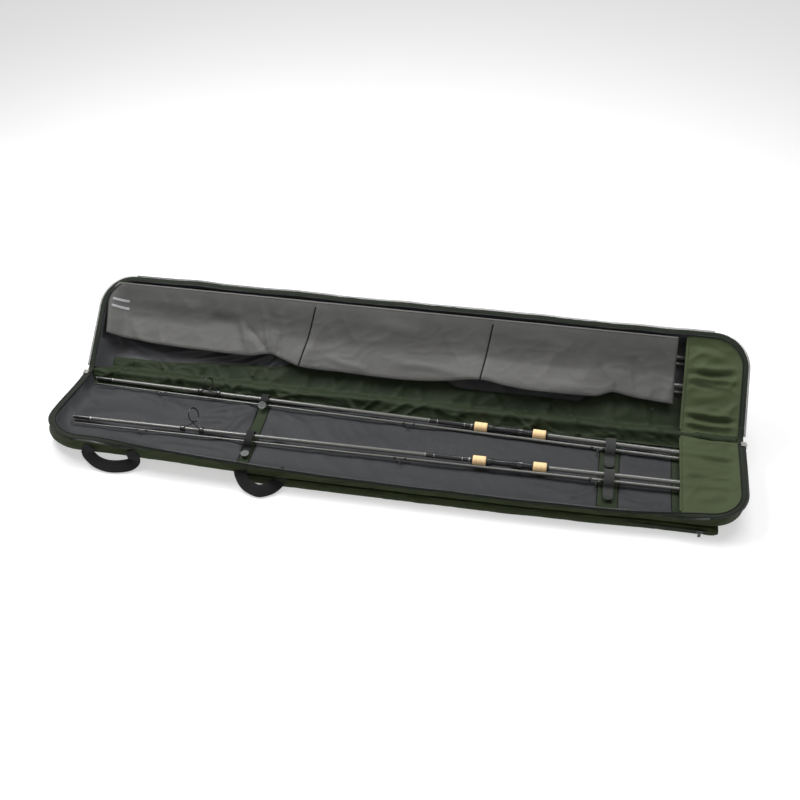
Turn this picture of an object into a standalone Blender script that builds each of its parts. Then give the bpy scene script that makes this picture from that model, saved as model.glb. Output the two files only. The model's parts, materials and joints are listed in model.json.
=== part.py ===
"""A padded rod case for 12 ft two-piece fishing rods, lying open with four rods inside.

The case is two shallow fabric halves joined along a soft spine. The front half lies on its outer
pouch, and the back half, the lid, leans back on its own. Lengths are metres, +Z is up, +X points to
the butt end, and the origin is on the ground under the middle of the front half.

Each half is drawn in its spine frame: X along the spine, Z = 0 at the spine's turning axis, and the
half itself on the -Y side (the base) or the +Y side (the lid). The lid's frame is then tilted.
"""
import math

import bmesh
import bpy
from mathutils import Matrix, Vector

# ---- driving dimensions ----
CASE_LENGTH = 1.970
HALF_WIDTH = 0.311          # spine axis to the outer edge of the zip
CORNER_RADIUS = 0.105       # outer corners, at the zip
LID_TILT = math.radians(37)
BASE_DEPTH = 0.055          # rim to underside
LID_DEPTH = 0.0783
BASE_POUCH_DEPTH = 0.0297
AXIS_RISE = 0.004           # spine axis above the rims, so the closed zip has room

SKIN = 0.004                # padded cloth wall
CLEAR = 0.0003              # between pieces that touch
ARC_STEPS = 7

# ---- levels in a spine frame ----
RIM_Z = -AXIS_RISE
TAPE_LOW = RIM_Z - 0.0032
TAPE_HIGH = RIM_Z - 0.0005
TEETH_HIGH = RIM_Z + 0.0018
WALL_TOP = TAPE_LOW - CLEAR
BASE_BOTTOM = RIM_Z - BASE_DEPTH
LID_BOTTOM = RIM_Z - LID_DEPTH
BASE_LINING = -0.035
LID_LINING = -0.0740
ROD_Z = -0.020
LID_ROD_Z = -0.0600
FLAP_Z = -0.043

WELD = 0.00001              # points closer than this are one

# ---- plan ----
EDGE_X = CASE_LENGTH / 2
TEETH_WIDTH = 0.005
TAPE_INSET = TEETH_WIDTH + CLEAR
TAPE_WIDTH = 0.025
WALL_INSET = 0.0075
SPINE_GAP = 0.0008          # spine walls to the axis, each side
GUSSET_SEAM_X = 0.860       # where the two lengths of the base's gusset meet
LINING_INSET = WALL_INSET + SKIN + 2 * CLEAR
BASE_TAPE_END = 0.008       # how near the spine each zip tape runs
LID_TAPE_END = 0.030
BASE_HEM = 0.0140           # width of the spine cloth's hem on each half
LID_HEM = 0.0070
HEM_END = 0.004             # hem to the zip tapes, at each end
PANEL_NEAR = SPINE_GAP + SKIN + 2 * CLEAR

TIP_STATION_X = -0.410      # where the straps cross the rods
BUTT_STATION_X = 0.611
TIP_STRIP_WIDTH = 0.032
BUTT_STRIP_WIDTH = 0.056
STATION_STRIPS = {"base_strip_tip": TIP_STATION_X, "base_strip_butt": BUTT_STATION_X}
POCKET_X = 0.805            # mouth of the butt pockets
BASE_POCKET_DIVIDER = -0.172
LID_POCKET_DIVIDER = 0.180
POCKET_CLOTH = 0.0022
POCKET_RIB_START = 0.004    # divider rib behind the mouth

HINGE_Y = HALF_WIDTH / 2
HINGE_Z = AXIS_RISE + BASE_DEPTH + CLEAR + BASE_POUCH_DEPTH

# ---- rods, lying along X beside the spine: (distance from it at X = 0, slope, shift of the handle) ----
BASE_RODS = ((-0.043, -0.0235, 0.0), (-0.191, 0.010, 0.012))
LID_RODS = ((0.238, 0.0), (0.152, 0.0))
ROD_BUTT_X = 0.930
ROD_FERRULE_X = -0.948
ROD_TIP_BUTT_X = 0.905
TIP_END_X = -0.942
BUTT_RADIUS = 0.0068
FERRULE_RADIUS = 0.0046
TIP_BUTT_RADIUS = 0.0044
TIP_THIN_RADIUS = 0.0014
TIP_OFFSET = (0, -0.0185, -0.0060)
CORK_RADIUS = 0.0140
LID_CORK_RADIUS = 0.0130
CORK_LENGTH = 0.038
SEAT_RADIUS = 0.0100
SLEEVE_SIDES = 16
FORE_CORK_X = 0.220
REAR_CORK_X = 0.389

# ---- the tall guide of each rod in the base ----
BUTT_GUIDE_X = -0.585
BUTT_GUIDES = ((0.036, 0.0200, 0.0), (0.042, 0.0210, math.radians(38)))  # height, radius, lean back
GUIDE_WIRE = 0.0012
LEG_SPREAD = 0.72           # where the legs meet the ring, as shares of its radius
LEG_DROP = 0.70
LEG_FOOT_X = (0.020, 0.034)
BRACE_FOOT_X = (-0.010, -0.026)

# ---- straps ----
STRAP_WIDTH = 0.028
STRAP_THICKNESS = 0.0020
STRAP_SPAN = 0.052
STRAP_RISE = 0.0245
STRAP_BACK = 0.014          # back leg behind the butt section
STRAP_SHOULDER = 0.010      # slope of the front leg
STRAP_HOLD = 0.034          # length stuck down in front of the rod
STRAP_LIFT = 0.0016         # the stuck length above the lining
LEG_ROOM = 0.0020           # top of each fixed back leg to the turning axis
LEG_ROOT = 0.0020           # its root inside the strip that it is sewn to
TAB_RADIUS = 0.012
TAB_THICKNESS = 0.0025
TAB_SIDES = 16
ELASTIC_WIDTH = 0.022       # fixed elastic loops in the lid
ELASTIC_THICKNESS = 0.0015
ELASTIC_RISE = 0.0205
ELASTIC_FOOT = 0.010
ELASTIC_SLOPE = 0.002
ELASTIC_SPAN = (-0.030, 0.012)

# ---- divider flap: turning axis (distance from the spine, level), plan and section ----
FLAP_AXIS = (0.2785, RIM_Z + 0.0030)
FLAP_X = (-0.945, 0.780)
FLAP_REACH = 0.171
FLAP_THICKNESS = 0.006
FLAP_DROP = FLAP_Z - FLAP_AXIS[1]
FLAP_CORNER = 0.060         # half the side of the square that trims the corner off
FLAP_CORNER_AT = (0.004, 0.012)

# ---- zip sliders ----
SLIDER_Y = -0.018           # resting place, beside the spine
SLIDER_LENGTH = 0.016
SLIDER_SKIN = 0.0016
PULLER_LENGTH = 0.026
POUCH_PULLER_LENGTH = 0.016
PULLER_WIDTH = 0.008
PULLER_THICKNESS = 0.0016
PULLER_TOP = 0.001          # its end above the pin
PULLER_BEVEL = 0.0005
SLIDER_BEVEL = 0.001
PIN_ROOM = 0.0004
SLIDER_REACH = 0.0130       # how far the top plate reaches in over the teeth
SLIDER_ROOM = 0.0005

# ---- outer pouches ----
BASE_POUCH_X = (-0.420, 0.910)
BASE_POUCH_Y = (-0.3080, -0.030)
LID_POUCH_X = (-0.420, 0.900)
POUCH_EDGE = 0.006
POUCH_ZIP_HEIGHT = 0.007
POUCH_ZIP_THICKNESS = 0.0020
POUCH_ZIP_END = 0.030       # zip to the pouch's ends
BASE_ZIP_DROP = 0.011       # zip below the pouch's top
LID_ZIP_DROP = 0.012
POUCH_SLIDER_END = 0.020    # slider to the zip's end
POUCH_SLIDER_DEPTH = 0.0030
POUCH_SLIDER_HEIGHT = 0.0090
POUCH_PIN = 0.0015          # puller's pin in front of the slider
LID_POUCH_NEAR = (0.024, 0.028, 0.052)   # top, then the flat that rests on the ground
LID_POUCH_FAR = 0.270
LID_POUCH_BELLY = ((0.270, -0.030), (0.255, -0.037), (0.110, -0.055))
GROUND_LIFT = 0.0004

# ---- carry loops on the front wall: (name, ends along X, how far out and down they reach) ----
LOOP_WIDTH = 0.032
LOOP_THICKNESS = 0.0025
LOOP_TOP_Z = -0.024
LOOP_SEWN = 0.018           # length sewn flat to the wall
LOOP_TWIST = 1.6            # how soon the webbing turns onto its side
LOOP_STEPS = 12
CARRY_LOOPS = (
    ("tip_carry_loop", -0.875, -0.715, (0.040, -0.0720)),
    ("middle_carry_loop", -0.425, -0.275, (0.062, -0.0745)),
)

COLOURS = {
    "outer_cloth": ((0.030, 0.042, 0.026), 0.90, 0.0),
    "green_lining": ((0.045, 0.062, 0.034), 0.85, 0.0),
    "grey_lining": ((0.065, 0.067, 0.072), 0.85, 0.0),
    "zip_tape": ((0.022, 0.024, 0.020), 0.90, 0.0),
    "zip_metal": ((0.550, 0.550, 0.540), 0.35, 1.0),
    "webbing": ((0.010, 0.010, 0.010), 0.90, 0.0),
    "strap": ((0.060, 0.064, 0.060), 0.90, 0.0),
    "blank": ((0.020, 0.022, 0.022), 0.25, 0.0),
    "cork": ((0.600, 0.400, 0.230), 0.80, 0.0),
    "guide": ((0.050, 0.050, 0.052), 0.30, 1.0),
}

MODEL = "rod_case"
CUTTERS = "cutters"


# ---- scene helpers ----

def clear_scene():
    for old in list(bpy.data.objects):
        bpy.data.objects.remove(old, do_unlink=True)


def collection(name):
    made = bpy.data.collections.new(name)
    bpy.context.scene.collection.children.link(made)
    return made


def material(name):
    colour, roughness, metallic = COLOURS[name]
    made = bpy.data.materials.new(name)
    made.use_nodes = True
    shader = made.node_tree.nodes["Principled BSDF"]
    shader.inputs["Base Color"].default_value = (*colour, 1.0)
    shader.inputs["Roughness"].default_value = roughness
    shader.inputs["Metallic"].default_value = metallic
    return made


def frame(name, parent=None, location=(0, 0, 0), rotation=(0, 0, 0)):
    """An empty that carries the pieces of one half, rod or moving part."""
    made = bpy.data.objects.new(name, None)
    bpy.data.collections[MODEL].objects.link(made)
    made.parent = parent
    made.location = location
    made.rotation_euler = rotation
    return made


def place(name, mesh, parent, kind):
    made = bpy.data.objects.new(name, mesh)
    bpy.data.collections[MODEL].objects.link(made)
    made.parent = parent
    finish = bpy.data.materials.get(kind) or material(kind)
    mesh.materials.clear()
    mesh.materials.append(finish)
    return made


def cutter(name, mesh, parent):
    made = bpy.data.objects.new(name, mesh)
    bpy.data.collections[CUTTERS].objects.link(made)
    made.parent = parent
    made.hide_render = True
    made.display_type = "WIRE"
    return made


def combine(made, tool, operation):
    step = made.modifiers.new(operation.lower() + "_" + tool.name, "BOOLEAN")
    step.object = tool
    step.operation = operation
    step.solver = "EXACT"


def solidify(made, thickness, offset):
    step = made.modifiers.new("thickness", "SOLIDIFY")
    step.thickness = thickness
    step.offset = offset
    step.use_even_offset = True


def bevel(made, width, segments=1):
    step = made.modifiers.new("edges", "BEVEL")
    step.width = width
    step.segments = segments
    step.limit_method = "ANGLE"
    step.angle_limit = math.radians(40)


# ---- shapes ----

def outline(x_low, x_high, near, far, r_low=0.0, r_high=0.0):
    """Plan of a half or a panel: square beside the spine, with a round corner at each far end."""
    out = math.copysign(1.0, far - near)
    points = [(x_low, near)]
    for centre_x, radius, start in ((x_low + r_low, r_low, math.pi), (x_high - r_high, r_high, math.pi / 2)):
        if not radius:
            points.append((centre_x, far))
            continue
        for step in range(ARC_STEPS + 1):
            angle = start - math.pi / 2 * step / ARC_STEPS
            points.append((centre_x + radius * math.cos(angle),
                           far - out * radius * (1 - math.sin(angle))))
    points.append((x_high, near))
    return points


def half_outline(side, inset, near):
    radius = CORNER_RADIUS - inset
    return outline(-EDGE_X + inset, EDGE_X - inset, side * near, side * (HALF_WIDTH - inset), radius, radius)


def border(side, inset, width, near):
    """A band of even width round the three open sides of a half."""
    return half_outline(side, inset, near) + half_outline(side, inset + width, near)[::-1]


def slab(points, low, high):
    """A flat outline given thickness."""
    curve = bpy.data.curves.new("outline", "CURVE")
    curve.dimensions = "2D"
    curve.fill_mode = "BOTH"
    curve.extrude = (high - low) / 2
    spline = curve.splines.new("POLY")
    spline.points.add(len(points) - 1)
    for point, (x, y) in zip(spline.points, points):
        point.co = (x, y, 0, 1)
    spline.use_cyclic_u = True
    mesh = curve_mesh(curve)
    mesh.transform(Matrix.Translation((0, 0, (low + high) / 2)))
    return mesh


def prism(points, low, high):
    """A flat outline in X and Z, given its thickness along Y."""
    mesh = slab(points, -high, -low)
    mesh.transform(Matrix.Rotation(math.pi / 2, 4, "X"))
    return mesh


def curve_mesh(curve):
    """A curve made a mesh, with its caps welded on."""
    holder = bpy.data.objects.new("curve", curve)
    bpy.context.scene.collection.objects.link(holder)
    graph = bpy.context.evaluated_depsgraph_get()
    mesh = bpy.data.meshes.new_from_object(holder.evaluated_get(graph))
    bpy.data.objects.remove(holder)
    shape = bmesh.new()
    shape.from_mesh(mesh)
    bmesh.ops.remove_doubles(shape, verts=shape.verts, dist=WELD)
    bmesh.ops.recalc_face_normals(shape, faces=shape.faces)
    shape.to_mesh(mesh)
    shape.free()
    return mesh


def tray(points, floor_z, rim_z, open_edges=()):
    """A floor with a wall on each edge of its outline except the open ones, as an open surface."""
    shape = bmesh.new()
    corners = [shape.verts.new((x, y, floor_z)) for x, y in points]
    shape.faces.new(corners)
    edges = []
    for i, corner in enumerate(corners):
        if i not in open_edges:
            edges.append(shape.edges.get((corner, corners[(i + 1) % len(corners)])))
    return raise_walls(shape, edges, rim_z - floor_z)


def wall(points, low, high, closed=True):
    """An upright wall along an outline, or all round it, as an open surface."""
    shape = bmesh.new()
    corners = [shape.verts.new((x, y, low)) for x, y in points]
    following = corners[1:] + corners[:1] if closed else corners[1:]
    edges = [shape.edges.new(ends) for ends in zip(corners, following)]
    return raise_walls(shape, edges, high - low)


def raise_walls(shape, edges, height):
    raised = bmesh.ops.extrude_edge_only(shape, edges=edges)
    tops = [v for v in raised["geom"] if isinstance(v, bmesh.types.BMVert)]
    bmesh.ops.translate(shape, verts=tops, vec=(0, 0, height))
    bmesh.ops.recalc_face_normals(shape, faces=shape.faces)
    mesh = bpy.data.meshes.new("walls")
    shape.to_mesh(mesh)
    shape.free()
    return mesh


def ribbon(path, across):
    """An open strip along a path, wide along the vector across, or along one vector at each point."""
    widths = across if isinstance(across, list) else [across] * len(path)
    shape = bmesh.new()
    edges = []
    for side in (-0.5, 0.5):
        row = [shape.verts.new(Vector(p) + side * Vector(w)) for p, w in zip(path, widths)]
        edges += [shape.edges.new(pair) for pair in zip(row, row[1:])]
    bmesh.ops.bridge_loops(shape, edges=edges)
    bmesh.ops.recalc_face_normals(shape, faces=shape.faces)
    mesh = bpy.data.meshes.new("ribbon")
    shape.to_mesh(mesh)
    shape.free()
    return mesh


def box(low, high):
    shape = bmesh.new()
    bmesh.ops.create_cube(shape, size=1.0)
    size = Vector(high) - Vector(low)
    bmesh.ops.scale(shape, verts=shape.verts, vec=size)
    bmesh.ops.translate(shape, verts=shape.verts, vec=(Vector(high) + Vector(low)) / 2)
    mesh = bpy.data.meshes.new("box")
    shape.to_mesh(mesh)
    shape.free()
    return mesh


def rod_along_x(x_low, x_high, radius_low, radius_high, sides=12):
    """A round bar along X, tapering from one end to the other."""
    shape = bmesh.new()
    bmesh.ops.create_cone(shape, cap_ends=True, segments=sides,
                          radius1=radius_low, radius2=radius_high, depth=x_high - x_low)
    bmesh.ops.rotate(shape, verts=shape.verts, cent=(0, 0, 0), matrix=Matrix.Rotation(math.pi / 2, 3, "Y"))
    bmesh.ops.translate(shape, verts=shape.verts, vec=((x_low + x_high) / 2, 0, 0))
    mesh = bpy.data.meshes.new("bar")
    shape.to_mesh(mesh)
    shape.free()
    mesh.shade_smooth()
    return mesh


def tube(path, radius, closed=False):
    curve = bpy.data.curves.new("wire", "CURVE")
    curve.dimensions = "3D"
    curve.bevel_depth = radius
    curve.bevel_resolution = 1
    curve.use_fill_caps = True
    spline = curve.splines.new("POLY")
    spline.points.add(len(path) - 1)
    for point, place_at in zip(spline.points, path):
        point.co = (*place_at, 1)
    spline.use_cyclic_u = closed
    return curve_mesh(curve)


def ring_path(centre, radius, steps):
    """A circle standing across X."""
    x, y, z = centre
    turns = [2 * math.pi * i / steps for i in range(steps)]
    return [(x, y + radius * math.cos(a), z + radius * math.sin(a)) for a in turns]


def sleeve(steps_out, inner_low, inner_high, sides):
    """A turned sleeve along X with a tapering bore; steps_out are its outer radii along X."""
    profile = [(steps_out[0][0], inner_low), *steps_out, (steps_out[-1][0], inner_high)]
    shape = bmesh.new()
    corners = [shape.verts.new((x, 0, z)) for x, z in profile]
    for i, corner in enumerate(corners):
        shape.edges.new((corner, corners[(i + 1) % len(corners)]))
    bmesh.ops.spin(shape, geom=shape.verts[:] + shape.edges[:], cent=(0, 0, 0), axis=(1, 0, 0),
                   angle=2 * math.pi, steps=sides, use_merge=True)
    bmesh.ops.remove_doubles(shape, verts=shape.verts, dist=WELD)
    bmesh.ops.recalc_face_normals(shape, faces=shape.faces)
    mesh = bpy.data.meshes.new("sleeve")
    shape.to_mesh(mesh)
    shape.free()
    mesh.shade_smooth()
    mesh.set_sharp_from_angle(angle=math.radians(40))
    return mesh


# ---- the two halves ----

def gusset_lengths(points, seam_x):
    """The outline cut in two at seam_x: the length round the tip end, then the one round the butt end."""
    near = points[0][1]
    far = max((y for _, y in points), key=abs)
    tip = [(seam_x, near), *(point for point in points if point[0] < seam_x), (seam_x, far)]
    start = seam_x + CLEAR
    return tip, [(start, far), *(point for point in points if point[0] > seam_x), (start, near)]


def add_half(name, parent, side, floor_z, tape_end, seam_x=None):
    """The padded outer cloth of one half, a flat panel and the gusset sewn round it, with its zip."""
    points = half_outline(side, WALL_INSET, SPINE_GAP)
    place(name + "_panel", slab(points, floor_z, floor_z + SKIN), parent, "outer_cloth")
    lengths = gusset_lengths(points, seam_x) if seam_x else (points,)
    for length, ending in zip(lengths, ("", "_butt")):
        sides = wall(length, floor_z + SKIN + CLEAR, WALL_TOP, closed=len(lengths) == 1)
        gusset = place(name + "_gusset" + ending, sides, parent, "outer_cloth")
        solidify(gusset, SKIN, -1)
    place(name + "_zip_tape", slab(border(side, TAPE_INSET, TAPE_WIDTH, tape_end), TAPE_LOW, TAPE_HIGH),
          parent, "zip_tape")
    place(name + "_zip_teeth", slab(border(side, 0.0, TEETH_WIDTH, tape_end), TAPE_LOW, TEETH_HIGH),
          parent, "zip_metal")


def panel_outline(side, x_low, x_high):
    """A panel that fills one stretch of a half, round where it reaches the half's end."""
    end = EDGE_X - LINING_INSET
    radius = CORNER_RADIUS - LINING_INSET
    r_low = radius if x_low <= -end else 0.0
    r_high = radius if x_high >= end else 0.0
    return outline(max(x_low, -end), min(x_high, end), side * PANEL_NEAR,
                   side * (HALF_WIDTH - LINING_INSET), r_low, r_high)


def add_base_lining(parent):
    """Three padded panels with a cloth strip between them at each strap station."""
    low = BASE_BOTTOM + SKIN + CLEAR
    tip = (TIP_STATION_X - TIP_STRIP_WIDTH / 2, TIP_STATION_X + TIP_STRIP_WIDTH / 2)
    butt = (BUTT_STATION_X - BUTT_STRIP_WIDTH / 2, BUTT_STATION_X + BUTT_STRIP_WIDTH / 2)
    stretches = (
        ("base_lining_tip", -EDGE_X, tip[0] - CLEAR, "grey_lining"),
        ("base_strip_tip", tip[0], tip[1], "green_lining"),
        ("base_lining_middle", tip[1] + CLEAR, butt[0] - CLEAR, "grey_lining"),
        ("base_strip_butt", butt[0], butt[1], "green_lining"),
        ("base_lining_butt", butt[1] + CLEAR, EDGE_X, "grey_lining"),
    )
    for name, x_low, x_high, kind in stretches:
        panel = place(name, slab(panel_outline(-1, x_low, x_high), low, BASE_LINING), parent, kind)
        if name in STATION_STRIPS:
            add_strap_legs(panel, STATION_STRIPS[name], parent)


def add_strap_legs(strip, x, parent):
    """The fixed back legs of the straps, standing on the strip that they are sewn to."""
    half = STRAP_THICKNESS / 2
    for number, (y, slope, _) in enumerate(BASE_RODS, 1):
        back = y + slope * x + STRAP_BACK
        leg = box((x - STRAP_WIDTH / 2, back - half, BASE_LINING - LEG_ROOT),
                  (x + STRAP_WIDTH / 2, back + half, BASE_LINING + STRAP_RISE - LEG_ROOM))
        combine(strip, cutter(f"{strip.name}_leg_{number}", leg, parent), "UNION")


def add_pocket(name, parent, side, lining_z, divider):
    """A cloth pocket over the rod butts, open towards the tip end, in two compartments."""
    top = WALL_TOP - CLEAR
    points = panel_outline(side, POCKET_X, EDGE_X)
    pocket = place(name, tray(points, top, lining_z + CLEAR, open_edges=(0,)), parent, "green_lining")
    solidify(pocket, POCKET_CLOTH, -1)
    half = POCKET_CLOTH / 2
    rib = box((POCKET_X + POCKET_RIB_START, divider - half, lining_z + 2 * CLEAR),
              (EDGE_X - LINING_INSET - half, divider + half, top - half))
    combine(pocket, cutter(name + "_divider", rib, parent), "UNION")


def add_spine_cloth(name, parent, side, width):
    """The part of the soft spine that goes with one half: a hem over the top of the spine wall."""
    end = EDGE_X - TAPE_INSET - TAPE_WIDTH - HEM_END
    hem = slab(outline(-end, end, side * SPINE_GAP, side * width), TAPE_LOW, TAPE_HIGH)
    place(name, hem, parent, "green_lining")


def add_base_pouch(parent):
    """The flat outer pouch that the base lies on, with its zip along the front."""
    x_low, x_high = BASE_POUCH_X
    front, back = BASE_POUCH_Y
    top = BASE_BOTTOM - CLEAR
    pouch = place("base_pouch", box((x_low, front, top - BASE_POUCH_DEPTH), (x_high, back, top)),
                  parent, "outer_cloth")
    bevel(pouch, POUCH_EDGE, 2)
    add_pouch_zip("base_pouch", parent, BASE_POUCH_X, front - CLEAR, top - BASE_ZIP_DROP, -1)


def upright_box(x_middle, x_size, y_face, y_out, z_middle, z_size):
    """A box whose back is at y_face and whose front is at y_out."""
    return box((x_middle - x_size / 2, min(y_face, y_out), z_middle - z_size / 2),
               (x_middle + x_size / 2, max(y_face, y_out), z_middle + z_size / 2))


def add_pouch_zip(name, parent, span, face_y, zip_z, side):
    """A coil zip along X on a pouch's upright face, with a slider and a hanging puller."""
    x_low, x_high = span[0] + POUCH_ZIP_END, span[1] - POUCH_ZIP_END
    outer = face_y + side * POUCH_ZIP_THICKNESS
    place(name + "_zip", upright_box((x_low + x_high) / 2, x_high - x_low, face_y, outer, zip_z,
                                     POUCH_ZIP_HEIGHT), parent, "zip_tape")
    inner = outer + side * CLEAR
    front = inner + side * POUCH_SLIDER_DEPTH
    centre = x_high - POUCH_SLIDER_END
    slider = place(name + "_slider", upright_box(centre, SLIDER_LENGTH, inner, front, zip_z,
                                                 POUCH_SLIDER_HEIGHT), parent, "zip_metal")
    bevel(slider, SLIDER_BEVEL)
    pin = frame(name + "_puller_axis", parent, (centre, front + side * POUCH_PIN, zip_z))
    plate = box((-PULLER_WIDTH / 2, -PULLER_THICKNESS / 2, -POUCH_PULLER_LENGTH),
                (PULLER_WIDTH / 2, PULLER_THICKNESS / 2, PULLER_TOP))
    bevel(place(name + "_puller", plate, pin, "zip_metal"), PULLER_BEVEL)


def add_lid_pouch(parent):
    """The fuller outer pouch that the lid leans on: its lower edge lies flat on the ground."""
    top = LID_BOTTOM - CLEAR

    def ground(s):
        """Depth at which the tilted lid meets the ground, at distance s from the spine."""
        return (s * math.sin(LID_TILT) + HINGE_Z) / math.cos(LID_TILT)

    near_top, rest_low, rest_high = LID_POUCH_NEAR
    section = [(LID_POUCH_FAR, top)]
    section += [(s, top + drop) for s, drop in LID_POUCH_BELLY]
    section += [(s, GROUND_LIFT - ground(s)) for s in (rest_high, rest_low)]
    section.append((near_top, top))
    x_low, x_high = LID_POUCH_X
    shape = bmesh.new()
    face = shape.faces.new([shape.verts.new((x_low, y, z)) for y, z in section])
    raised = bmesh.ops.extrude_face_region(shape, geom=[face])
    far = [v for v in raised["geom"] if isinstance(v, bmesh.types.BMVert)]
    bmesh.ops.translate(shape, verts=far, vec=(x_high - x_low, 0, 0))
    bmesh.ops.recalc_face_normals(shape, faces=shape.faces)
    mesh = bpy.data.meshes.new("pouch")
    shape.to_mesh(mesh)
    shape.free()
    place("lid_pouch", mesh, parent, "outer_cloth")
    add_pouch_zip("lid_pouch", parent, LID_POUCH_X, LID_POUCH_FAR + CLEAR, top - LID_ZIP_DROP, 1)


def add_flap(parent):
    """The padded divider sewn to the lid's far zip tape."""
    axis = frame("flap_axis", parent, (0, *FLAP_AXIS))
    x_low, x_high = FLAP_X
    middle = (x_low + x_high) / 2
    section = [(0, 0), (-0.006, -0.012), (-0.010, FLAP_DROP + 0.008), (-0.020, FLAP_DROP),
               (-FLAP_REACH / 2, FLAP_DROP), (-FLAP_REACH, FLAP_DROP)]
    flap = place("divider_flap", ribbon([(middle, y, z) for y, z in section], (x_high - x_low, 0, 0)),
                 axis, "grey_lining")
    solidify(flap, FLAP_THICKNESS, 0)
    side = (FLAP_CORNER, FLAP_CORNER, 2 * FLAP_CORNER)
    corner = cutter("flap_corner", box([-v for v in side], side), axis)
    corner.location = (x_low + FLAP_CORNER_AT[0], FLAP_CORNER_AT[1], 0)
    corner.rotation_euler = (0, 0, math.radians(45))
    combine(flap, corner, "DIFFERENCE")


def add_lid_lining(parent):
    low = LID_BOTTOM + SKIN + CLEAR
    place("lid_lining", slab(panel_outline(1, -EDGE_X, EDGE_X), low, LID_LINING), parent, "grey_lining")


def add_strap(name, parent, x, back_y, kind):
    """A hook-and-loop strap that turns about the top of its back leg and closes over a rod."""
    axis = frame(name + "_axis", parent, (x, back_y, BASE_LINING + STRAP_RISE))
    stuck = STRAP_LIFT - STRAP_RISE
    path = [(0, 0, 0), (0, STRAP_SHOULDER - STRAP_SPAN, 0), (0, -STRAP_SPAN, STRAP_SHOULDER - STRAP_RISE),
            (0, -STRAP_SPAN - STRAP_SHOULDER / 2, stuck), (0, -STRAP_SPAN - STRAP_HOLD, stuck)]
    strap = place(name, ribbon(path, (STRAP_WIDTH, 0, 0)), axis, kind)
    solidify(strap, STRAP_THICKNESS, 0)
    return axis


def add_tab(name, axis):
    """The round grip pad on the end of a tip strap."""
    middle = TAB_RADIUS - STRAP_SPAN - STRAP_HOLD
    turns = [2 * math.pi * i / TAB_SIDES for i in range(TAB_SIDES)]
    disc = [(TAB_RADIUS * math.cos(a), middle + TAB_RADIUS * math.sin(a)) for a in turns]
    low = STRAP_LIFT - STRAP_RISE + STRAP_THICKNESS / 2 + CLEAR
    place(name, slab(disc, low, low + TAB_THICKNESS), axis, "strap")


def add_carry_loop(name, parent, x_low, x_high, reach):
    """A webbing loop sewn flat to the front wall at both ends, flopping out to the ground."""
    wall_y = -HALF_WIDTH + WALL_INSET - CLEAR - LOOP_THICKNESS / 2
    axis = frame(name + "_axis", parent, (0, wall_y, LOOP_TOP_Z))
    low = reach[1] - LOOP_TOP_Z
    flat = (LOOP_WIDTH, 0, 0)
    out = Vector((0, -low, -reach[0])).normalized() * LOOP_WIDTH
    half = (x_high - x_low - LOOP_WIDTH) / 2
    middle = (x_low + x_high) / 2
    path = [(middle - half, 0, 0), (middle - half, 0, -LOOP_SEWN)]
    widths = [flat, flat]
    for i in range(1, LOOP_STEPS):
        angle = math.pi * i / LOOP_STEPS
        swing = math.sin(angle)
        path.append((middle - half * math.cos(angle), -reach[0] * swing, (low + LOOP_SEWN) * swing - LOOP_SEWN))
        sewn = Vector(flat) if angle < math.pi / 2 else -Vector(flat)
        widths.append(sewn.lerp(out, min(1.0, LOOP_TWIST * swing)))
    path += [(middle + half, 0, -LOOP_SEWN), (middle + half, 0, 0)]
    widths += [-Vector(flat), -Vector(flat)]
    band = place(name, ribbon(path, widths), axis, "webbing")
    solidify(band, LOOP_THICKNESS, 0)


def add_zip_slider(name, parent, end):
    """A slider on the base's zip teeth beside the spine, at the butt end (+1) or the tip end (-1)."""
    inner = (EDGE_X + 2 * CLEAR, TEETH_HIGH + SLIDER_ROOM, TAPE_LOW - SLIDER_ROOM)
    outer = (inner[0] + SLIDER_SKIN, inner[1] + SLIDER_SKIN, inner[2] - SLIDER_SKIN)
    tip_top = EDGE_X - SLIDER_REACH
    tip_low = EDGE_X - WALL_INSET + 2 * CLEAR
    section = [(tip_top, inner[1]), inner[:2], (inner[0], inner[2]), (tip_low, inner[2]),
               (tip_low, outer[2]), (outer[0], outer[2]), outer[:2], (tip_top, outer[1])]
    half = SLIDER_LENGTH / 2
    place(name + "_slider", prism([(end * x, z) for x, z in section], SLIDER_Y - half, SLIDER_Y + half),
          parent, "zip_metal")
    pin_x = outer[0] + PIN_ROOM + PULLER_THICKNESS / 2
    axis = frame(name + "_puller_axis", parent, (end * pin_x, SLIDER_Y, RIM_Z))
    plate = box((-PULLER_THICKNESS / 2, -PULLER_WIDTH / 2, -PULLER_LENGTH),
                (PULLER_THICKNESS / 2, PULLER_WIDTH / 2, PULLER_TOP))
    bevel(place(name + "_puller", plate, axis, "zip_metal"), PULLER_BEVEL)


# ---- rods ----

def blank_radius(x):
    share = (x - ROD_FERRULE_X) / (ROD_BUTT_X - ROD_FERRULE_X)
    return FERRULE_RADIUS + (BUTT_RADIUS - FERRULE_RADIUS) * share


def grip_sleeve(*steps_out):
    """A sleeve that fits over the blank, its bore clear of the blank's corners."""
    snug = math.cos(math.pi / SLEEVE_SIDES)
    bores = [(blank_radius(x) + CLEAR) / snug for x in (steps_out[0][0], steps_out[-1][0])]
    return sleeve(steps_out, bores[0], bores[1], SLEEVE_SIDES)


def even_sleeve(x_low, x_high, outer):
    return grip_sleeve((x_low, outer), (x_high, outer))


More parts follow.
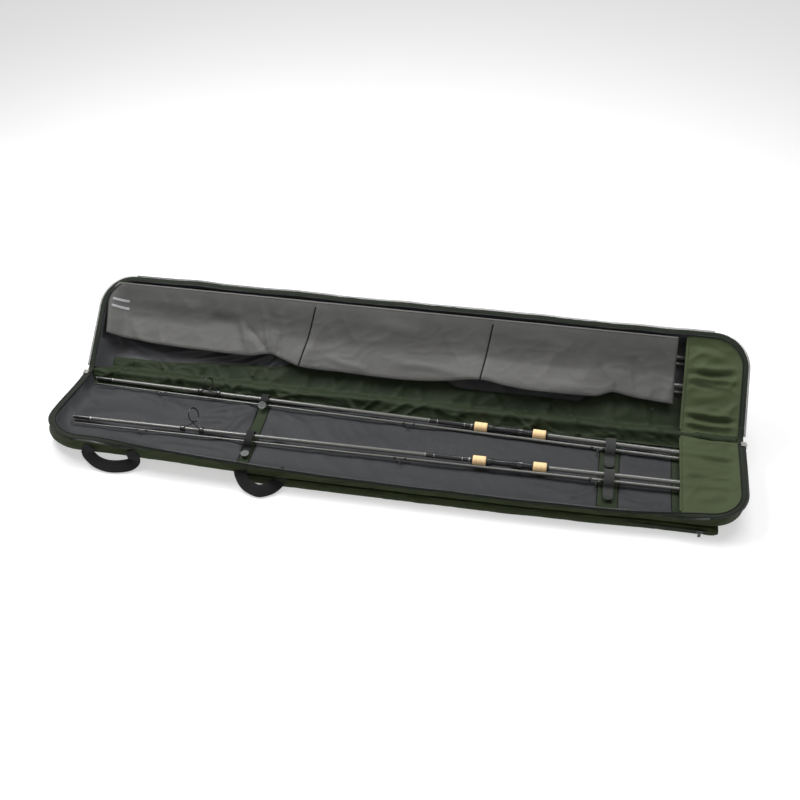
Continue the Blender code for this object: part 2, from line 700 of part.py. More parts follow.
def add_butt_guide(name, parent, height, radius, lean):
    """The tall guide: a ring across the rod on three wire legs and a foot along the blank."""
    seat = blank_radius(BUTT_GUIDE_X) + CLEAR + GUIDE_WIRE
    axis = frame(name + "_frame", parent, (BUTT_GUIDE_X, 0, 0), (-lean, 0, 0))
    ring = place(name, tube(ring_path((0, 0, height), radius, 20), GUIDE_WIRE, closed=True), axis, "guide")
    spread = radius * LEG_SPREAD
    rise = height - radius * LEG_DROP
    for i, side in enumerate((-1, 1)):
        leg = [(0, side * spread, rise), (LEG_FOOT_X[0], side * GUIDE_WIRE, seat + 0.004),
               (LEG_FOOT_X[1], 0, seat)]
        combine(ring, cutter(f"{name}_leg_{i}", tube(leg, GUIDE_WIRE * 0.8), axis), "UNION")
    brace = [(0, 0, height - radius), (BRACE_FOOT_X[0], 0, seat + 0.001), (BRACE_FOOT_X[1], 0, seat)]
    combine(ring, cutter(name + "_brace", tube(brace, GUIDE_WIRE * 0.9), axis), "UNION")


def add_rod(name, half, z, y, slope):
    """One rod: the butt section, and the tip section strapped beside it."""
    rod = frame(name + "_frame", half, (0, y, z), (0, 0, math.atan(slope)))
    place(name + "_butt_section", rod_along_x(ROD_FERRULE_X, ROD_BUTT_X, FERRULE_RADIUS, BUTT_RADIUS),
          rod, "blank")
    beside = frame(name + "_tip_frame", rod, TIP_OFFSET)
    place(name + "_tip_section", rod_along_x(TIP_END_X, ROD_TIP_BUTT_X, TIP_THIN_RADIUS, TIP_BUTT_RADIUS),
          beside, "blank")
    return rod


def add_grips(name, rod, shift):
    """Two cork grips with the reel seat between them."""
    fore = FORE_CORK_X + shift
    rear = REAR_CORK_X + shift
    place(name + "_fore_cork", even_sleeve(fore, fore + CORK_LENGTH, CORK_RADIUS), rod, "cork")
    place(name + "_reel_seat", even_sleeve(fore + CORK_LENGTH + CLEAR, rear - CLEAR, SEAT_RADIUS), rod, "guide")
    place(name + "_rear_cork", even_sleeve(rear, rear + CORK_LENGTH, CORK_RADIUS), rod, "cork")


def add_plain_handle(name, rod):
    """The same handle in one piece, for a rod that lies hidden in the lid."""
    fore_end = FORE_CORK_X + CORK_LENGTH
    handle = grip_sleeve((FORE_CORK_X, LID_CORK_RADIUS), (fore_end, LID_CORK_RADIUS),
                         (fore_end + 0.002, SEAT_RADIUS), (REAR_CORK_X - 0.002, SEAT_RADIUS),
                         (REAR_CORK_X, LID_CORK_RADIUS), (REAR_CORK_X + CORK_LENGTH, LID_CORK_RADIUS))
    place(name + "_handle", handle, rod, "cork")


def add_elastic(name, parent, middle):
    """A fixed elastic loop over both sections of a rod in the lid."""
    low = LID_LINING + ELASTIC_THICKNESS
    high = low + ELASTIC_RISE
    front, back = (middle + reach for reach in ELASTIC_SPAN)
    section = [(back + ELASTIC_FOOT, low), (back, low), (back - ELASTIC_SLOPE, high),
               (front + ELASTIC_SLOPE, high), (front, low), (front - ELASTIC_FOOT, low)]
    path = [(TIP_STATION_X, y, z) for y, z in section]
    band = place(name, ribbon(path, (ELASTIC_WIDTH, 0, 0)), parent, "strap")
    solidify(band, ELASTIC_THICKNESS, 0)


def main():
    clear_scene()
    collection(MODEL)
    collection(CUTTERS)
    base = frame("base_frame", None, (0, HINGE_Y, HINGE_Z))
    lid = frame("lid_frame", None, (0, HINGE_Y, HINGE_Z), (LID_TILT, 0, 0))
    add_half("base", base, -1, BASE_BOTTOM, BASE_TAPE_END, GUSSET_SEAM_X)
    add_half("lid", lid, 1, LID_BOTTOM, LID_TAPE_END)
    add_spine_cloth("base_spine_cloth", base, -1, BASE_HEM)
    add_spine_cloth("lid_spine_cloth", lid, 1, LID_HEM)
    add_base_lining(base)
    add_lid_lining(lid)
    add_pocket("base_butt_pocket", base, -1, BASE_LINING, BASE_POCKET_DIVIDER)
    add_pocket("lid_butt_pocket", lid, 1, LID_LINING, LID_POCKET_DIVIDER)
    add_base_pouch(base)
    add_lid_pouch(lid)
    add_flap(lid)
    for name, x_low, x_high, reach in CARRY_LOOPS:
        add_carry_loop(name, base, x_low, x_high, reach)
    add_zip_slider("butt_end", base, 1)
    add_zip_slider("tip_end", base, -1)
    for number, (y, slope, shift) in enumerate(BASE_RODS, 1):
        rod = add_rod(f"rod_{number}", base, ROD_Z, y, slope)
        add_grips(f"rod_{number}", rod, shift)
        height, radius, lean = BUTT_GUIDES[number - 1]
        add_butt_guide(f"rod_{number}_butt_guide", rod, height, radius, lean)
        for station, x, kind in (("tip", TIP_STATION_X, "webbing"), ("butt", BUTT_STATION_X, "strap")):
            back = y + slope * x + STRAP_BACK
            axis = add_strap(f"{station}_strap_{number}", base, x, back, kind)
            if station == "tip":
                add_tab(f"tip_strap_tab_{number}", axis)
    for number, (y, slope) in enumerate(LID_RODS, 3):
        rod = add_rod(f"rod_{number}", lid, LID_ROD_Z, y, slope)
        add_plain_handle(f"rod_{number}", rod)
        add_elastic(f"lid_elastic_{number}", lid, y + slope * TIP_STATION_X)


main()
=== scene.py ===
"""The looks of the open rod case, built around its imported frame.

Each half has its own axes: x along the spine, out away from the spine, and z up from the spine's turning
axis. A Half turns those into world points, so the base and the leaning lid share the same functions.
"""
import json
import math

import bpy
from mathutils import Matrix, Vector, noise
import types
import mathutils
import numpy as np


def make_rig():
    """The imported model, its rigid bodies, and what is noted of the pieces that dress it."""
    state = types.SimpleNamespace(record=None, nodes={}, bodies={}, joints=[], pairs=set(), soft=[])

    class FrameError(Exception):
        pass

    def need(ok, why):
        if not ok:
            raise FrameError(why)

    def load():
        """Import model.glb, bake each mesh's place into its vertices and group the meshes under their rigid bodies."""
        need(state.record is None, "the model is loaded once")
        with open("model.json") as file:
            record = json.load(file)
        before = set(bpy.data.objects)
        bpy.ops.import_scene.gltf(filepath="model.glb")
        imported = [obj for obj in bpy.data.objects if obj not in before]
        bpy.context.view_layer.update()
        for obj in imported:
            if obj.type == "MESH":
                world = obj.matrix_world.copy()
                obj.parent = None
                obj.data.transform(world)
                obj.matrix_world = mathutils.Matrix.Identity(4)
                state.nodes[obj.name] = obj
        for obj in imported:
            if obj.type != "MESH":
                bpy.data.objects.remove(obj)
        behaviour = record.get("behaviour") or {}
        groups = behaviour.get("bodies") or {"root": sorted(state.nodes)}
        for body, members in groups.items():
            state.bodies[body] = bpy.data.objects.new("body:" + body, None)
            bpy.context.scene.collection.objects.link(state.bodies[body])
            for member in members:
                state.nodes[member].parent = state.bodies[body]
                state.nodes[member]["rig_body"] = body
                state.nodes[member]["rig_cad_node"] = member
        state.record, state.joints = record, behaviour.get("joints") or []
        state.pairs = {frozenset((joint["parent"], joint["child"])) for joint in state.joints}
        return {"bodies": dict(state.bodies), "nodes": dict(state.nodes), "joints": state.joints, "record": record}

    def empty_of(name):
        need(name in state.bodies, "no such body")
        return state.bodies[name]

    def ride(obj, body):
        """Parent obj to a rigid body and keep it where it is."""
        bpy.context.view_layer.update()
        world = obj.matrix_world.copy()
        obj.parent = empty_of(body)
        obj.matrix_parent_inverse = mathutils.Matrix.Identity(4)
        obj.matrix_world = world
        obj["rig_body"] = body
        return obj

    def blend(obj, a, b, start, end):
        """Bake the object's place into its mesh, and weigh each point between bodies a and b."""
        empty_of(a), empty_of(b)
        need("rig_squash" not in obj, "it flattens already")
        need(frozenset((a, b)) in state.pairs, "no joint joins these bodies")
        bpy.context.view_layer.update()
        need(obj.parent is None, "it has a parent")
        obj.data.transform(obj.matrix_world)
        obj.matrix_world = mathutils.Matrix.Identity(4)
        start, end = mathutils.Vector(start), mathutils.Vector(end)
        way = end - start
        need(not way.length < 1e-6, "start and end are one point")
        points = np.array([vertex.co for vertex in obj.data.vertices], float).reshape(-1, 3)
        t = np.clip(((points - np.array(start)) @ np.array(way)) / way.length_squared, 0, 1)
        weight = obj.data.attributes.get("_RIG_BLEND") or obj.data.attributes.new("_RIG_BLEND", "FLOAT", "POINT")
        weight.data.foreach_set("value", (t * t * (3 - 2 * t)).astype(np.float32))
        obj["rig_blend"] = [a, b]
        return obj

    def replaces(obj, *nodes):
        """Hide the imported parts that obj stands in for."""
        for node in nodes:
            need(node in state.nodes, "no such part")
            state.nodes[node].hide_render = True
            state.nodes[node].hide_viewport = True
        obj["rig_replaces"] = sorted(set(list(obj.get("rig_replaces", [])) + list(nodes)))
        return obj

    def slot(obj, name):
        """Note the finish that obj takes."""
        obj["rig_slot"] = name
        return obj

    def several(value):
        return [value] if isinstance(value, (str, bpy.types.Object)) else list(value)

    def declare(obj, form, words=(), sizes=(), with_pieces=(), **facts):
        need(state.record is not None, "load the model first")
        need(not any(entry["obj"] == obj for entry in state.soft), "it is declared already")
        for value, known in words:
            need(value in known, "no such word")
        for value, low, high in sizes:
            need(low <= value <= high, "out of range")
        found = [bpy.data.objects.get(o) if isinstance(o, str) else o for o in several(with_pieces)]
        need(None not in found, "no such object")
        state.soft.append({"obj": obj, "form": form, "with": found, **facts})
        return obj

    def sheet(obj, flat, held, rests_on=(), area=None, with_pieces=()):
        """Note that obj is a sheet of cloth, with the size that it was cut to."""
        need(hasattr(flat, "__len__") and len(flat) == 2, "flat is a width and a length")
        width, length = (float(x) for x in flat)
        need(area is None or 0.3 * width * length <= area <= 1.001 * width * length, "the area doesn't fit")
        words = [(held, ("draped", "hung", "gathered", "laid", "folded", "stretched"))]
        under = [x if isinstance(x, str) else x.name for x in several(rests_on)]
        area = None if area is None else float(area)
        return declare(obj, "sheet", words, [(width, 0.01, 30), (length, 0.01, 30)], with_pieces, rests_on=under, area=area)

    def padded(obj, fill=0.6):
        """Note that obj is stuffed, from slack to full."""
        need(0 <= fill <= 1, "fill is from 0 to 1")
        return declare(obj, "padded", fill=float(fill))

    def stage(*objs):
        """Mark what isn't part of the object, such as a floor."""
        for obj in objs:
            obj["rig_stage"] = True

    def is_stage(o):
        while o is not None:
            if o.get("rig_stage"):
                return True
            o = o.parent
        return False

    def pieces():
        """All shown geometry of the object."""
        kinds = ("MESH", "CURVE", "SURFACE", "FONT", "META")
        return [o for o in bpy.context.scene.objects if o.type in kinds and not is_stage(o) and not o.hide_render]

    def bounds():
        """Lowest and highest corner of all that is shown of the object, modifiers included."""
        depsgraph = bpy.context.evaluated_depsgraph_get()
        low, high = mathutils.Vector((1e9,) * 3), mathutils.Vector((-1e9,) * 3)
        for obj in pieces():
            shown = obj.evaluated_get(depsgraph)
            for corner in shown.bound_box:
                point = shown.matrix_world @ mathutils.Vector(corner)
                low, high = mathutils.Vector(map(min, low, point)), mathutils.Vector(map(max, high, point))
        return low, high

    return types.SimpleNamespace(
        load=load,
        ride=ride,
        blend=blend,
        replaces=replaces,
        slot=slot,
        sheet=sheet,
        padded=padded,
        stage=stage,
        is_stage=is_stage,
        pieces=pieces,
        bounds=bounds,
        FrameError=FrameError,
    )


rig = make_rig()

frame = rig.load()
CAD_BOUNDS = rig.bounds()
MM = 0.001


# ---- axes of the two halves ----

JOINTS = {joint["name"]: joint for joint in frame["joints"]}
SPINE = Vector(JOINTS["lid_hinge"]["pos_m"])
LID_TILT = math.pi - math.radians(JOINTS["lid_hinge"]["range_deg"][1])


class Half:
    """One half of the case, lying on one side of the spine."""

    def __init__(self, body, side, tilt):
        self.body = body
        self.side = side
        self.matrix = Matrix.Translation(SPINE) @ Matrix.Rotation(tilt, 4, "X")
        self.back = self.matrix.inverted()

    def at(self, x, out, z):
        return self.matrix @ Vector((x, self.side * out, z))

    def turn(self, x, out, z):
        """A direction instead of a point."""
        return self.matrix.to_3x3() @ Vector((x, self.side * out, z))

    def extent(self, node):
        """Lowest and highest x, out and z of a CAD node on this half."""
        points = [self.back @ vertex.co for vertex in frame["nodes"][node].data.vertices]
        local = [(p.x, self.side * p.y, p.z) for p in points]
        return tuple(map(min, zip(*local))), tuple(map(max, zip(*local)))


BASE = Half("base", -1, 0.0)
LID = Half("lid", 1, LID_TILT)

# ---- sizes read from the frame ----
EDGE_X, WIDTH = BASE.extent("base_zip_teeth")[1][:2]
RIM = BASE.extent("base_zip_tape")[1][2]
BASE_FLOOR = BASE.extent("base_lining_middle")[1][2]
LID_FLOOR = LID.extent("lid_lining")[1][2]
BASE_BOTTOM = BASE.extent("base_panel")[0][2]
LID_BOTTOM = LID.extent("lid_panel")[0][2]
WALL_INSET = WIDTH - BASE.extent("base_panel")[1][1]
POCKET_X = BASE.extent("base_butt_pocket")[0][0]
TIP_STRIP = (BASE.extent("base_strip_tip")[0][0], BASE.extent("base_strip_tip")[1][0])
BUTT_STRIP = (BASE.extent("base_strip_butt")[0][0], BASE.extent("base_strip_butt")[1][0])
FLAP_LOW, FLAP_HIGH = LID.extent("divider_flap")

# ---- the zip band round the three open sides of each half ----
CORNER = 0.105
BAND = 0.0200                   # whole width, from the lining to the outer edge of the teeth
TAPE_WIDTH = 0.0254             # of the woven tape in BAND_SECTION, before it is scaled to the band
TEETH_END = 0.0303              # outer edge of the teeth on the same scale
TAPE_SHARE = (BAND - (TEETH_END - TAPE_WIDTH)) / TAPE_WIDTH
TUCKED = 0.0060                 # what is left of it in plan where the front band has rolled over
ROLL_START, ROLL_END = math.radians(30), math.radians(185)    # how the front band turns under itself
ROLL_FROM, ROLL_TO = 0.0005, 0.012                            # where across the band it turns

BASE_ROD_LINES = ((0.043, 0.0235), (0.191, -0.010))           # out at x = 0 and slope of the base's rods
GUIDE_X = -0.585                # the tall butt guides; the flap dips where one comes when the lid is shut


# ---- small mathematics ----

def smooth(value, low, high):
    """0 below low, 1 above high, and an even S between them."""
    share = min(1.0, max(0.0, (value - low) / (high - low)))
    return share * share * (3 - 2 * share)


def mix(a, b, share):
    return a + (b - a) * share


def spread(low, high, step):
    """Even values from low to high, at most step apart."""
    count = max(1, math.ceil((high - low) / step))
    return [low + (high - low) * i / count for i in range(count + 1)]


def through(points, x):
    """A smooth curve through (x, value) points."""
    if x <= points[0][0]:
        return points[0][1]
    if x >= points[-1][0]:
        return points[-1][1]
    i = max(k for k, point in enumerate(points[:-1]) if point[0] <= x)
    (x1, v1), (x2, v2) = points[i], points[i + 1]
    before = points[i - 1] if i else points[i]
    after = points[i + 2] if i + 2 < len(points) else points[i + 1]
    slope1 = (v2 - before[1]) / (x2 - before[0])
    slope2 = (after[1] - v1) / (after[0] - x1)
    t = (x - x1) / (x2 - x1)
    length = x2 - x1
    return ((2 * t ** 3 - 3 * t ** 2 + 1) * v1 + (t ** 3 - 2 * t ** 2 + t) * length * slope1
            + (3 * t ** 2 - 2 * t ** 3) * v2 + (t ** 3 - t ** 2) * length * slope2)


def between(a, b, c, d, t):
    """The point at share t from b to c of the smooth curve through a, b, c and d."""
    return 0.5 * (2 * b + (c - a) * t + (2 * a - 5 * b + 4 * c - d) * t ** 2
                  + (3 * b - a - 3 * c + d) * t ** 3)


def curve_through(points, step):
    """Points on a smooth curve through the given vectors, at most about step apart."""
    knots = [points[0]] + list(points) + [points[-1]]
    made = []
    for a, b, c, d in zip(knots, knots[1:], knots[2:], knots[3:]):
        pieces = max(1, math.ceil((c - b).length / step))
        for i in range(pieces):
            t = i / pieces
            made.append(between(a, b, c, d, t))
    made.append(points[-1])
    return made


def ripple(x, y, size, seed):
    """Slow, even unevenness between about -1 and 1."""
    return noise.noise(Vector((x / size, y / size, seed)))


def folds(x, out, lines):
    """Height of soft creases; each is (x1, out1, x2, out2, width, height), highest at its middle."""
    height = 0.0
    for x1, out1, x2, out2, width, crest in lines:
        dx, dy = x2 - x1, out2 - out1
        length2 = dx * dx + dy * dy
        share = ((x - x1) * dx + (out - out1) * dy) / length2
        if not -0.15 < share < 1.15:
            continue
        bend = 0.15 * width * math.sin(7 * share + 40 * x1)
        away = ((x - x1) * dy - (out - out1) * dx) / math.sqrt(length2) + bend
        if abs(away) > 3 * width:
            continue
        taper = smooth(share, -0.15, 0.30) * (1 - smooth(share, 0.60, 1.15))
        height += crest * taper * math.exp(-(away / width) ** 2)
    return height


def crumple(x, y, size, angle, seed):
    """Sharp-crested creases that run mostly along an angle, between about -1 and 1."""
    cosine, sine = math.cos(angle), math.sin(angle)
    along, away = x * cosine + y * sine, y * cosine - x * sine
    bend = 0.8 * noise.noise(Vector((along / (2.2 * size), away / (2.5 * size), seed + 5)))
    value = noise.noise(Vector((along / (2.6 * size), away / size + bend, seed)))
    return 1 - 2 * min(1.0, abs(value) * 2.6) ** 0.75


# ---- mesh building ----

def new_object(name, points, faces):
    mesh = bpy.data.meshes.new(name)
    mesh.from_pydata([tuple(p) for p in points], [], faces)
    mesh.validate()
    mesh.shade_smooth()
    made = bpy.data.objects.new(name, mesh)
    bpy.context.scene.collection.objects.link(made)
    return made


def grid(name, us, vs, place):
    """A sheet of quads with a point place(u, v) at each crossing."""
    points = [place(u, v) for u in us for v in vs]
    across = len(vs)
    faces = [(i * across + j, (i + 1) * across + j, (i + 1) * across + j + 1, i * across + j + 1)
             for i in range(len(us) - 1) for j in range(across - 1)]
    return new_object(name, points, faces)


def loft(name, rings, closed=False):
    """Skin over rings of points; the ends are capped unless the last ring meets the first."""
    across = len(rings[0])
    points = [p for ring in rings for p in ring]
    count = len(rings)
    faces = []
    for i in range(count if closed else count - 1):
        a, b = i * across, (i + 1) % count * across
        faces += [(a + j, a + (j + 1) % across, b + (j + 1) % across, b + j) for j in range(across)]
    if not closed:
        faces.append(tuple(range(across))[::-1])
        faces.append(tuple((count - 1) * across + j for j in range(across)))
    made = new_object(name, points, faces)
    made.data.set_sharp_from_angle(angle=math.radians(50))
    return made


def final(made):
    """Turns the modifiers into mesh."""
    graph = bpy.context.evaluated_depsgraph_get()
    mesh = bpy.data.meshes.new_from_object(made.evaluated_get(graph))
    made.modifiers.clear()
    made.data = mesh
    return made


def thicken(made, thickness, offset=-1.0, levels=0):
    step = made.modifiers.new("thickness", "SOLIDIFY")
    step.thickness = thickness
    step.offset = offset
    if levels:
        step = made.modifiers.new("rounding", "SUBSURF")
        step.levels = levels
        step.render_levels = levels
    final(made)
    made.data.shade_smooth()
    return made


def join(name, parts):
    """One object of several."""
    points, faces = [], []
    for part in parts:
        start = len(points)
        points += [part.matrix_world @ vertex.co for vertex in part.data.vertices]
        faces += [tuple(start + i for i in face.vertices) for face in part.data.polygons]
        bpy.data.objects.remove(part)
    made = new_object(name, points, faces)
    made.data.set_sharp_from_angle(angle=math.radians(50))
    return made


def side_axes(path, up):
    """For each point of a path, its direction and the unit vector across it that is square to up."""
    made = []
    for i, point in enumerate(path):
        before = path[max(i - 1, 0)]
        after = path[min(i + 1, len(path) - 1)]
        along = (after - before).normalized()
        normal = up[i] if isinstance(up, list) else up
        across = along.cross(normal).normalized()
        made.append((point, along, across, across.cross(along)))
    return made


def ribbon(name, path, up, width, thickness, crown=0.0):
    """Webbing along a path; up is the direction that its face looks, for all points or for each."""
    half_w, half_t = width / 2, thickness / 2
    edge = min(half_t, half_w) * 0.8
    section = [(-half_w, 0.0), (-half_w + edge, half_t), (-half_w / 2, half_t + crown * 0.7),
               (0.0, half_t + crown), (half_w / 2, half_t + crown * 0.7), (half_w - edge, half_t),
               (half_w, 0.0), (half_w - edge, -half_t), (0.0, -half_t), (-half_w + edge, -half_t)]
    rings = [[point + across * a + over * b for a, b in section]
             for point, _, across, over in side_axes(path, up)]
    return loft(name, rings)


def wire(name, path, radius, sides=8, closed=False):
    """A round wire along a path."""
    rings = []
    last = None
    count = len(path)
    for i, point in enumerate(path):
        before = path[i - 1] if closed else path[max(i - 1, 0)]
        after = path[(i + 1) % count] if closed else path[min(i + 1, count - 1)]
        along = (after - before).normalized()
        if last is None:
            last = along.orthogonal().normalized()
        across = (last - along * last.dot(along)).normalized()
        last = across
        over = along.cross(across)
        turns = [2 * math.pi * k / sides for k in range(sides)]
        rings.append([point + radius * (across * math.cos(t) + over * math.sin(t)) for t in turns])
    return loft(name, rings, closed)


def turned(name, start, direction, profile, sides=32):
    """A turned solid along a direction; the profile is (distance, radius)."""
    along = direction.normalized()
    across = along.orthogonal().normalized()
    over = along.cross(across)
    turns = [2 * math.pi * k / sides for k in range(sides)]
    rings = [[start + along * d + radius * (across * math.cos(t) + over * math.sin(t)) for t in turns]
             for d, radius in profile]
    return loft(name, rings)


STITCH_FACES = ((2, 5, 6, 3), (3, 6, 7, 4), (4, 7, 5, 2), (0, 2, 3), (1, 3, 4), (0, 3, 1), (0, 1, 4, 2),
                (8, 6, 5), (9, 7, 6), (8, 9, 6), (9, 8, 5, 7))


def stitches(name, path, up, length=2.6 * MM, gap=1.3 * MM, radius=0.35 * MM, pressed=0.1 * MM):
    """A row of thread stitches along a path."""
    walked = 0.0
    along_path = [0.0]
    for a, b in zip(path, path[1:]):
        along_path.append(along_path[-1] + (b - a).length)
    total = along_path[-1]
    points, faces = [], []
    index = 0
    while walked + length < total:
        ends = []
        for distance in (walked, walked + length):
            while index < len(path) - 2 and along_path[index + 1] < distance:
                index += 1
            share = (distance - along_path[index]) / max(along_path[index + 1] - along_path[index], 1e-9)
            ends.append(path[index].lerp(path[index + 1], share))
        normal = up[index] if isinstance(up, list) else up
        along = (ends[1] - ends[0]).normalized()
        across = along.cross(normal).normalized()
        middle = (ends[0] + ends[1]) / 2 + normal * (radius * 0.9)
        start = len(points)
        reach = along * length * 0.28
        around = (across * radius, normal * radius, across * -radius)
        for end, inner in zip(ends, (middle - reach, middle + reach)):
            foot = [end - normal * pressed + across * radius * share for share in (0.5, -0.5)]
            crown = [inner + step for step in around]
            points += foot + crown if end is ends[0] else crown + foot
        faces += [tuple(start + i for i in corner) for corner in STITCH_FACES]
        walked += length + gap
        index = max(0, index - 1)
    return new_object(name, points, faces)


# ---- materials ----

class Nodes:
    """A short way to build a node material."""

    def __init__(self, name):
        self.material = bpy.data.materials.new(name)
        self.material.use_nodes = True
        self.tree = self.material.node_tree
        self.shader = self.tree.nodes["Principled BSDF"]
        self.place = self.add("ShaderNodeTexCoord").outputs["Object"]

    def add(self, kind, **settings):
        node = self.tree.nodes.new(kind)
        for key, value in settings.items():
            setattr(node, key, value)
        return node

    def link(self, source, target):
        self.tree.links.new(source, target)

    def math(self, operation, a, b=0.0):
        node = self.add("ShaderNodeMath", operation=operation)
        for socket, value in zip(node.inputs, (a, b)):
            if isinstance(value, (int, float)):
                socket.default_value = value
            else:
                self.link(value, socket)
        return node.outputs[0]

    def noise(self, scale, detail=3.0, roughness=0.55, stretch=(1, 1, 1)):
        mapping = self.add("ShaderNodeMapping")
        mapping.inputs["Scale"].default_value = stretch
        self.link(self.place, mapping.inputs["Vector"])
        node = self.add("ShaderNodeTexNoise")
        node.inputs["Scale"].default_value = scale
        node.inputs["Detail"].default_value = detail
        node.inputs["Roughness"].default_value = roughness
        self.link(mapping.outputs["Vector"], node.inputs["Vector"])
        return node.outputs["Fac"]

    def stripes(self, direction, pitch):
        """A sine of the distance along a direction, from 0 to 1."""
        dot = self.add("ShaderNodeVectorMath", operation="DOT_PRODUCT")
        self.link(self.place, dot.inputs[0])
        dot.inputs[1].default_value = direction
        wave = self.math("SINE", self.math("MULTIPLY", dot.outputs["Value"], 2 * math.pi / pitch))
        return self.math("MULTIPLY_ADD", wave, 0.5), wave

    def ramp(self, value, stops):
        node = self.add("ShaderNodeValToRGB")
        elements = node.color_ramp.elements
        while len(elements) < len(stops):
            elements.new(0.5)
        for element, (position, colour) in zip(elements, stops):
            element.position = position
            element.color = (*colour, 1.0)
        self.link(value, node.inputs["Fac"])
        return node.outputs["Color"]

    def colour(self, source):
        self.link(source, self.shader.inputs["Base Color"])

    def bump(self, height, distance, strength=1.0):
        node = self.add("ShaderNodeBump")
        node.inputs["Distance"].default_value = distance
        node.inputs["Strength"].default_value = strength
        self.link(height, node.inputs["Height"])
        previous = self.shader.inputs["Normal"].links
        if previous:
            self.link(previous[0].from_socket, node.inputs["Normal"])
        self.link(node.outputs["Normal"], self.shader.inputs["Normal"])

    def set(self, **values):
        for key, value in values.items():
            self.shader.inputs[key.replace("_", " ")].default_value = value


def shade(colour, factor):
    return tuple(min(1.0, channel * factor) for channel in colour)


def cloth(name, colour, roughness, pitch, sheen=0.06, mottle=0.10, creasing=0.25 * MM, weave=0.06 * MM,
          shine=0.35):
    """Woven cloth: threads both ways, slow colour change, small crumples."""
    made = Nodes(name)
    slow = made.noise(9.0, 4.0)
    fine = made.noise(420.0, 2.0)
    blend = made.math("ADD", made.math("MULTIPLY", slow, 0.75), made.math("MULTIPLY", fine, 0.25))
    made.colour(made.ramp(blend, ((0.30, shade(colour, 1 - mottle)), (0.70, shade(colour, 1 + mottle)))))
    _, warp = made.stripes((1, 0, 0), pitch)
    _, weft = made.stripes((0, 0.9, 0.75), pitch)
    threads = made.math("MULTIPLY", warp, weft)
    made.bump(made.noise(60.0, 4.0, 0.6, (1.0, 1.6, 1.6)), creasing)
    made.bump(threads, weave)
    rough = made.math("ADD", made.math("MULTIPLY", slow, 0.12), roughness - 0.06)
    made.link(rough, made.shader.inputs["Roughness"])
    made.set(Sheen_Weight=sheen, Sheen_Roughness=0.45, Specular_IOR_Level=shine)
    return made.material


def tape(name, colour, pitch, roughness=0.8):
    """Zip tape and webbing: ribs across and along."""
    made = Nodes(name)
    _, ribs = made.stripes((1, 0.35, 0.2), pitch)
    _, cross = made.stripes((0.35, -1, -0.7), pitch * 1.7)
    slow = made.noise(30.0, 4.0)
    made.colour(made.ramp(slow, ((0.30, shade(colour, 0.82)), (0.72, shade(colour, 1.20)))))
    made.bump(made.math("MULTIPLY", ribs, cross), 0.14 * MM)
    made.bump(made.noise(900.0, 2.0), 0.05 * MM)
    made.set(Roughness=roughness, Sheen_Weight=0.08, Sheen_Roughness=0.5, Specular_IOR_Level=0.25)
    return made.material


def hook_tape(name, colour):
    """Hook-and-loop tape: a dense field of short loops."""
    made = Nodes(name)
    cells = made.add("ShaderNodeTexVoronoi")
    cells.inputs["Scale"].default_value = 900.0
    made.link(made.place, cells.inputs["Vector"])
    made.colour(made.ramp(cells.outputs["Distance"], ((0.0, shade(colour, 1.3)), (0.7, shade(colour, 0.7)))))
    made.bump(cells.outputs["Distance"], 0.4 * MM)
    made.set(Roughness=0.95, Sheen_Weight=0.25, Specular_IOR_Level=0.15)
    return made.material


def plastic(name, colour, roughness, grain=0.03 * MM):
    """Moulded plastic with a fine grain."""
    made = Nodes(name)
    slow = made.noise(80.0, 3.0)
    made.colour(made.ramp(slow, ((0.3, shade(colour, 0.85)), (0.7, shade(colour, 1.15)))))
    made.bump(made.noise(2500.0, 2.0), grain)
    rough = made.math("ADD", made.math("MULTIPLY", slow, 0.2), roughness - 0.1)
    made.link(rough, made.shader.inputs["Roughness"])
    return made.material


def metal(name, colour, roughness, scratch=0.02 * MM):
    """Metal with worn patches and fine scratches."""
    made = Nodes(name)
    worn = made.noise(300.0, 5.0, 0.7)
    made.colour(made.ramp(worn, ((0.35, shade(colour, 0.75)), (0.65, shade(colour, 1.05)))))
    made.bump(made.noise(1500.0, 3.0, 0.6, (6, 1, 1)), scratch)
    rough = made.math("ADD", made.math("MULTIPLY", worn, 0.25), roughness - 0.12)
    made.link(rough, made.shader.inputs["Roughness"])
    made.set(Metallic=1.0)
    return made.material


CORK_GRAIN = ((0.28, (0.60, 0.32, 0.12)), (0.42, (0.97, 0.66, 0.34)), (0.72, (1.0, 0.80, 0.48)))
CORK_PIT = (0.25, 0.12, 0.05)


def cork_material():
    """Pressed cork: pale grain with dark pits."""
    made = Nodes("cork")
    grain = made.noise(650.0, 5.0, 0.7)
    cells = made.add("ShaderNodeTexVoronoi")
    cells.inputs["Scale"].default_value = 520.0
    made.link(made.place, cells.inputs["Vector"])
    base = made.ramp(grain, CORK_GRAIN)
    pits = made.ramp(cells.outputs["Distance"], ((0.0, CORK_PIT), (0.16, (1.0, 1.0, 1.0))))
    blend = made.add("ShaderNodeMix", data_type="RGBA", blend_type="MULTIPLY")
    blend.inputs["Factor"].default_value = 0.55
    made.link(base, blend.inputs[6])
    made.link(pits, blend.inputs[7])
    made.colour(blend.outputs[2])
    made.bump(cells.outputs["Distance"], 0.25 * MM, 0.6)
    made.set(Roughness=0.82, Specular_IOR_Level=0.25)
    return made.material


def blank_material(name, colour, roughness=0.24):
    """Carbon blank under clear varnish, with the faint tape marks of its winding."""
    made = Nodes(name)
    _, winding = made.stripes((1, 0, 0), 1.5 * MM)
    cross = made.noise(1200.0, 2.0, 0.5, (0.4, 1, 1))
    made.colour(made.ramp(cross, ((0.35, shade(colour, 0.7)), (0.70, shade(colour, 1.35)))))
    made.bump(winding, 0.02 * MM)
    made.set(Roughness=roughness, Coat_Weight=0.6, Coat_Roughness=0.15, Specular_IOR_Level=0.6)
    return made.material


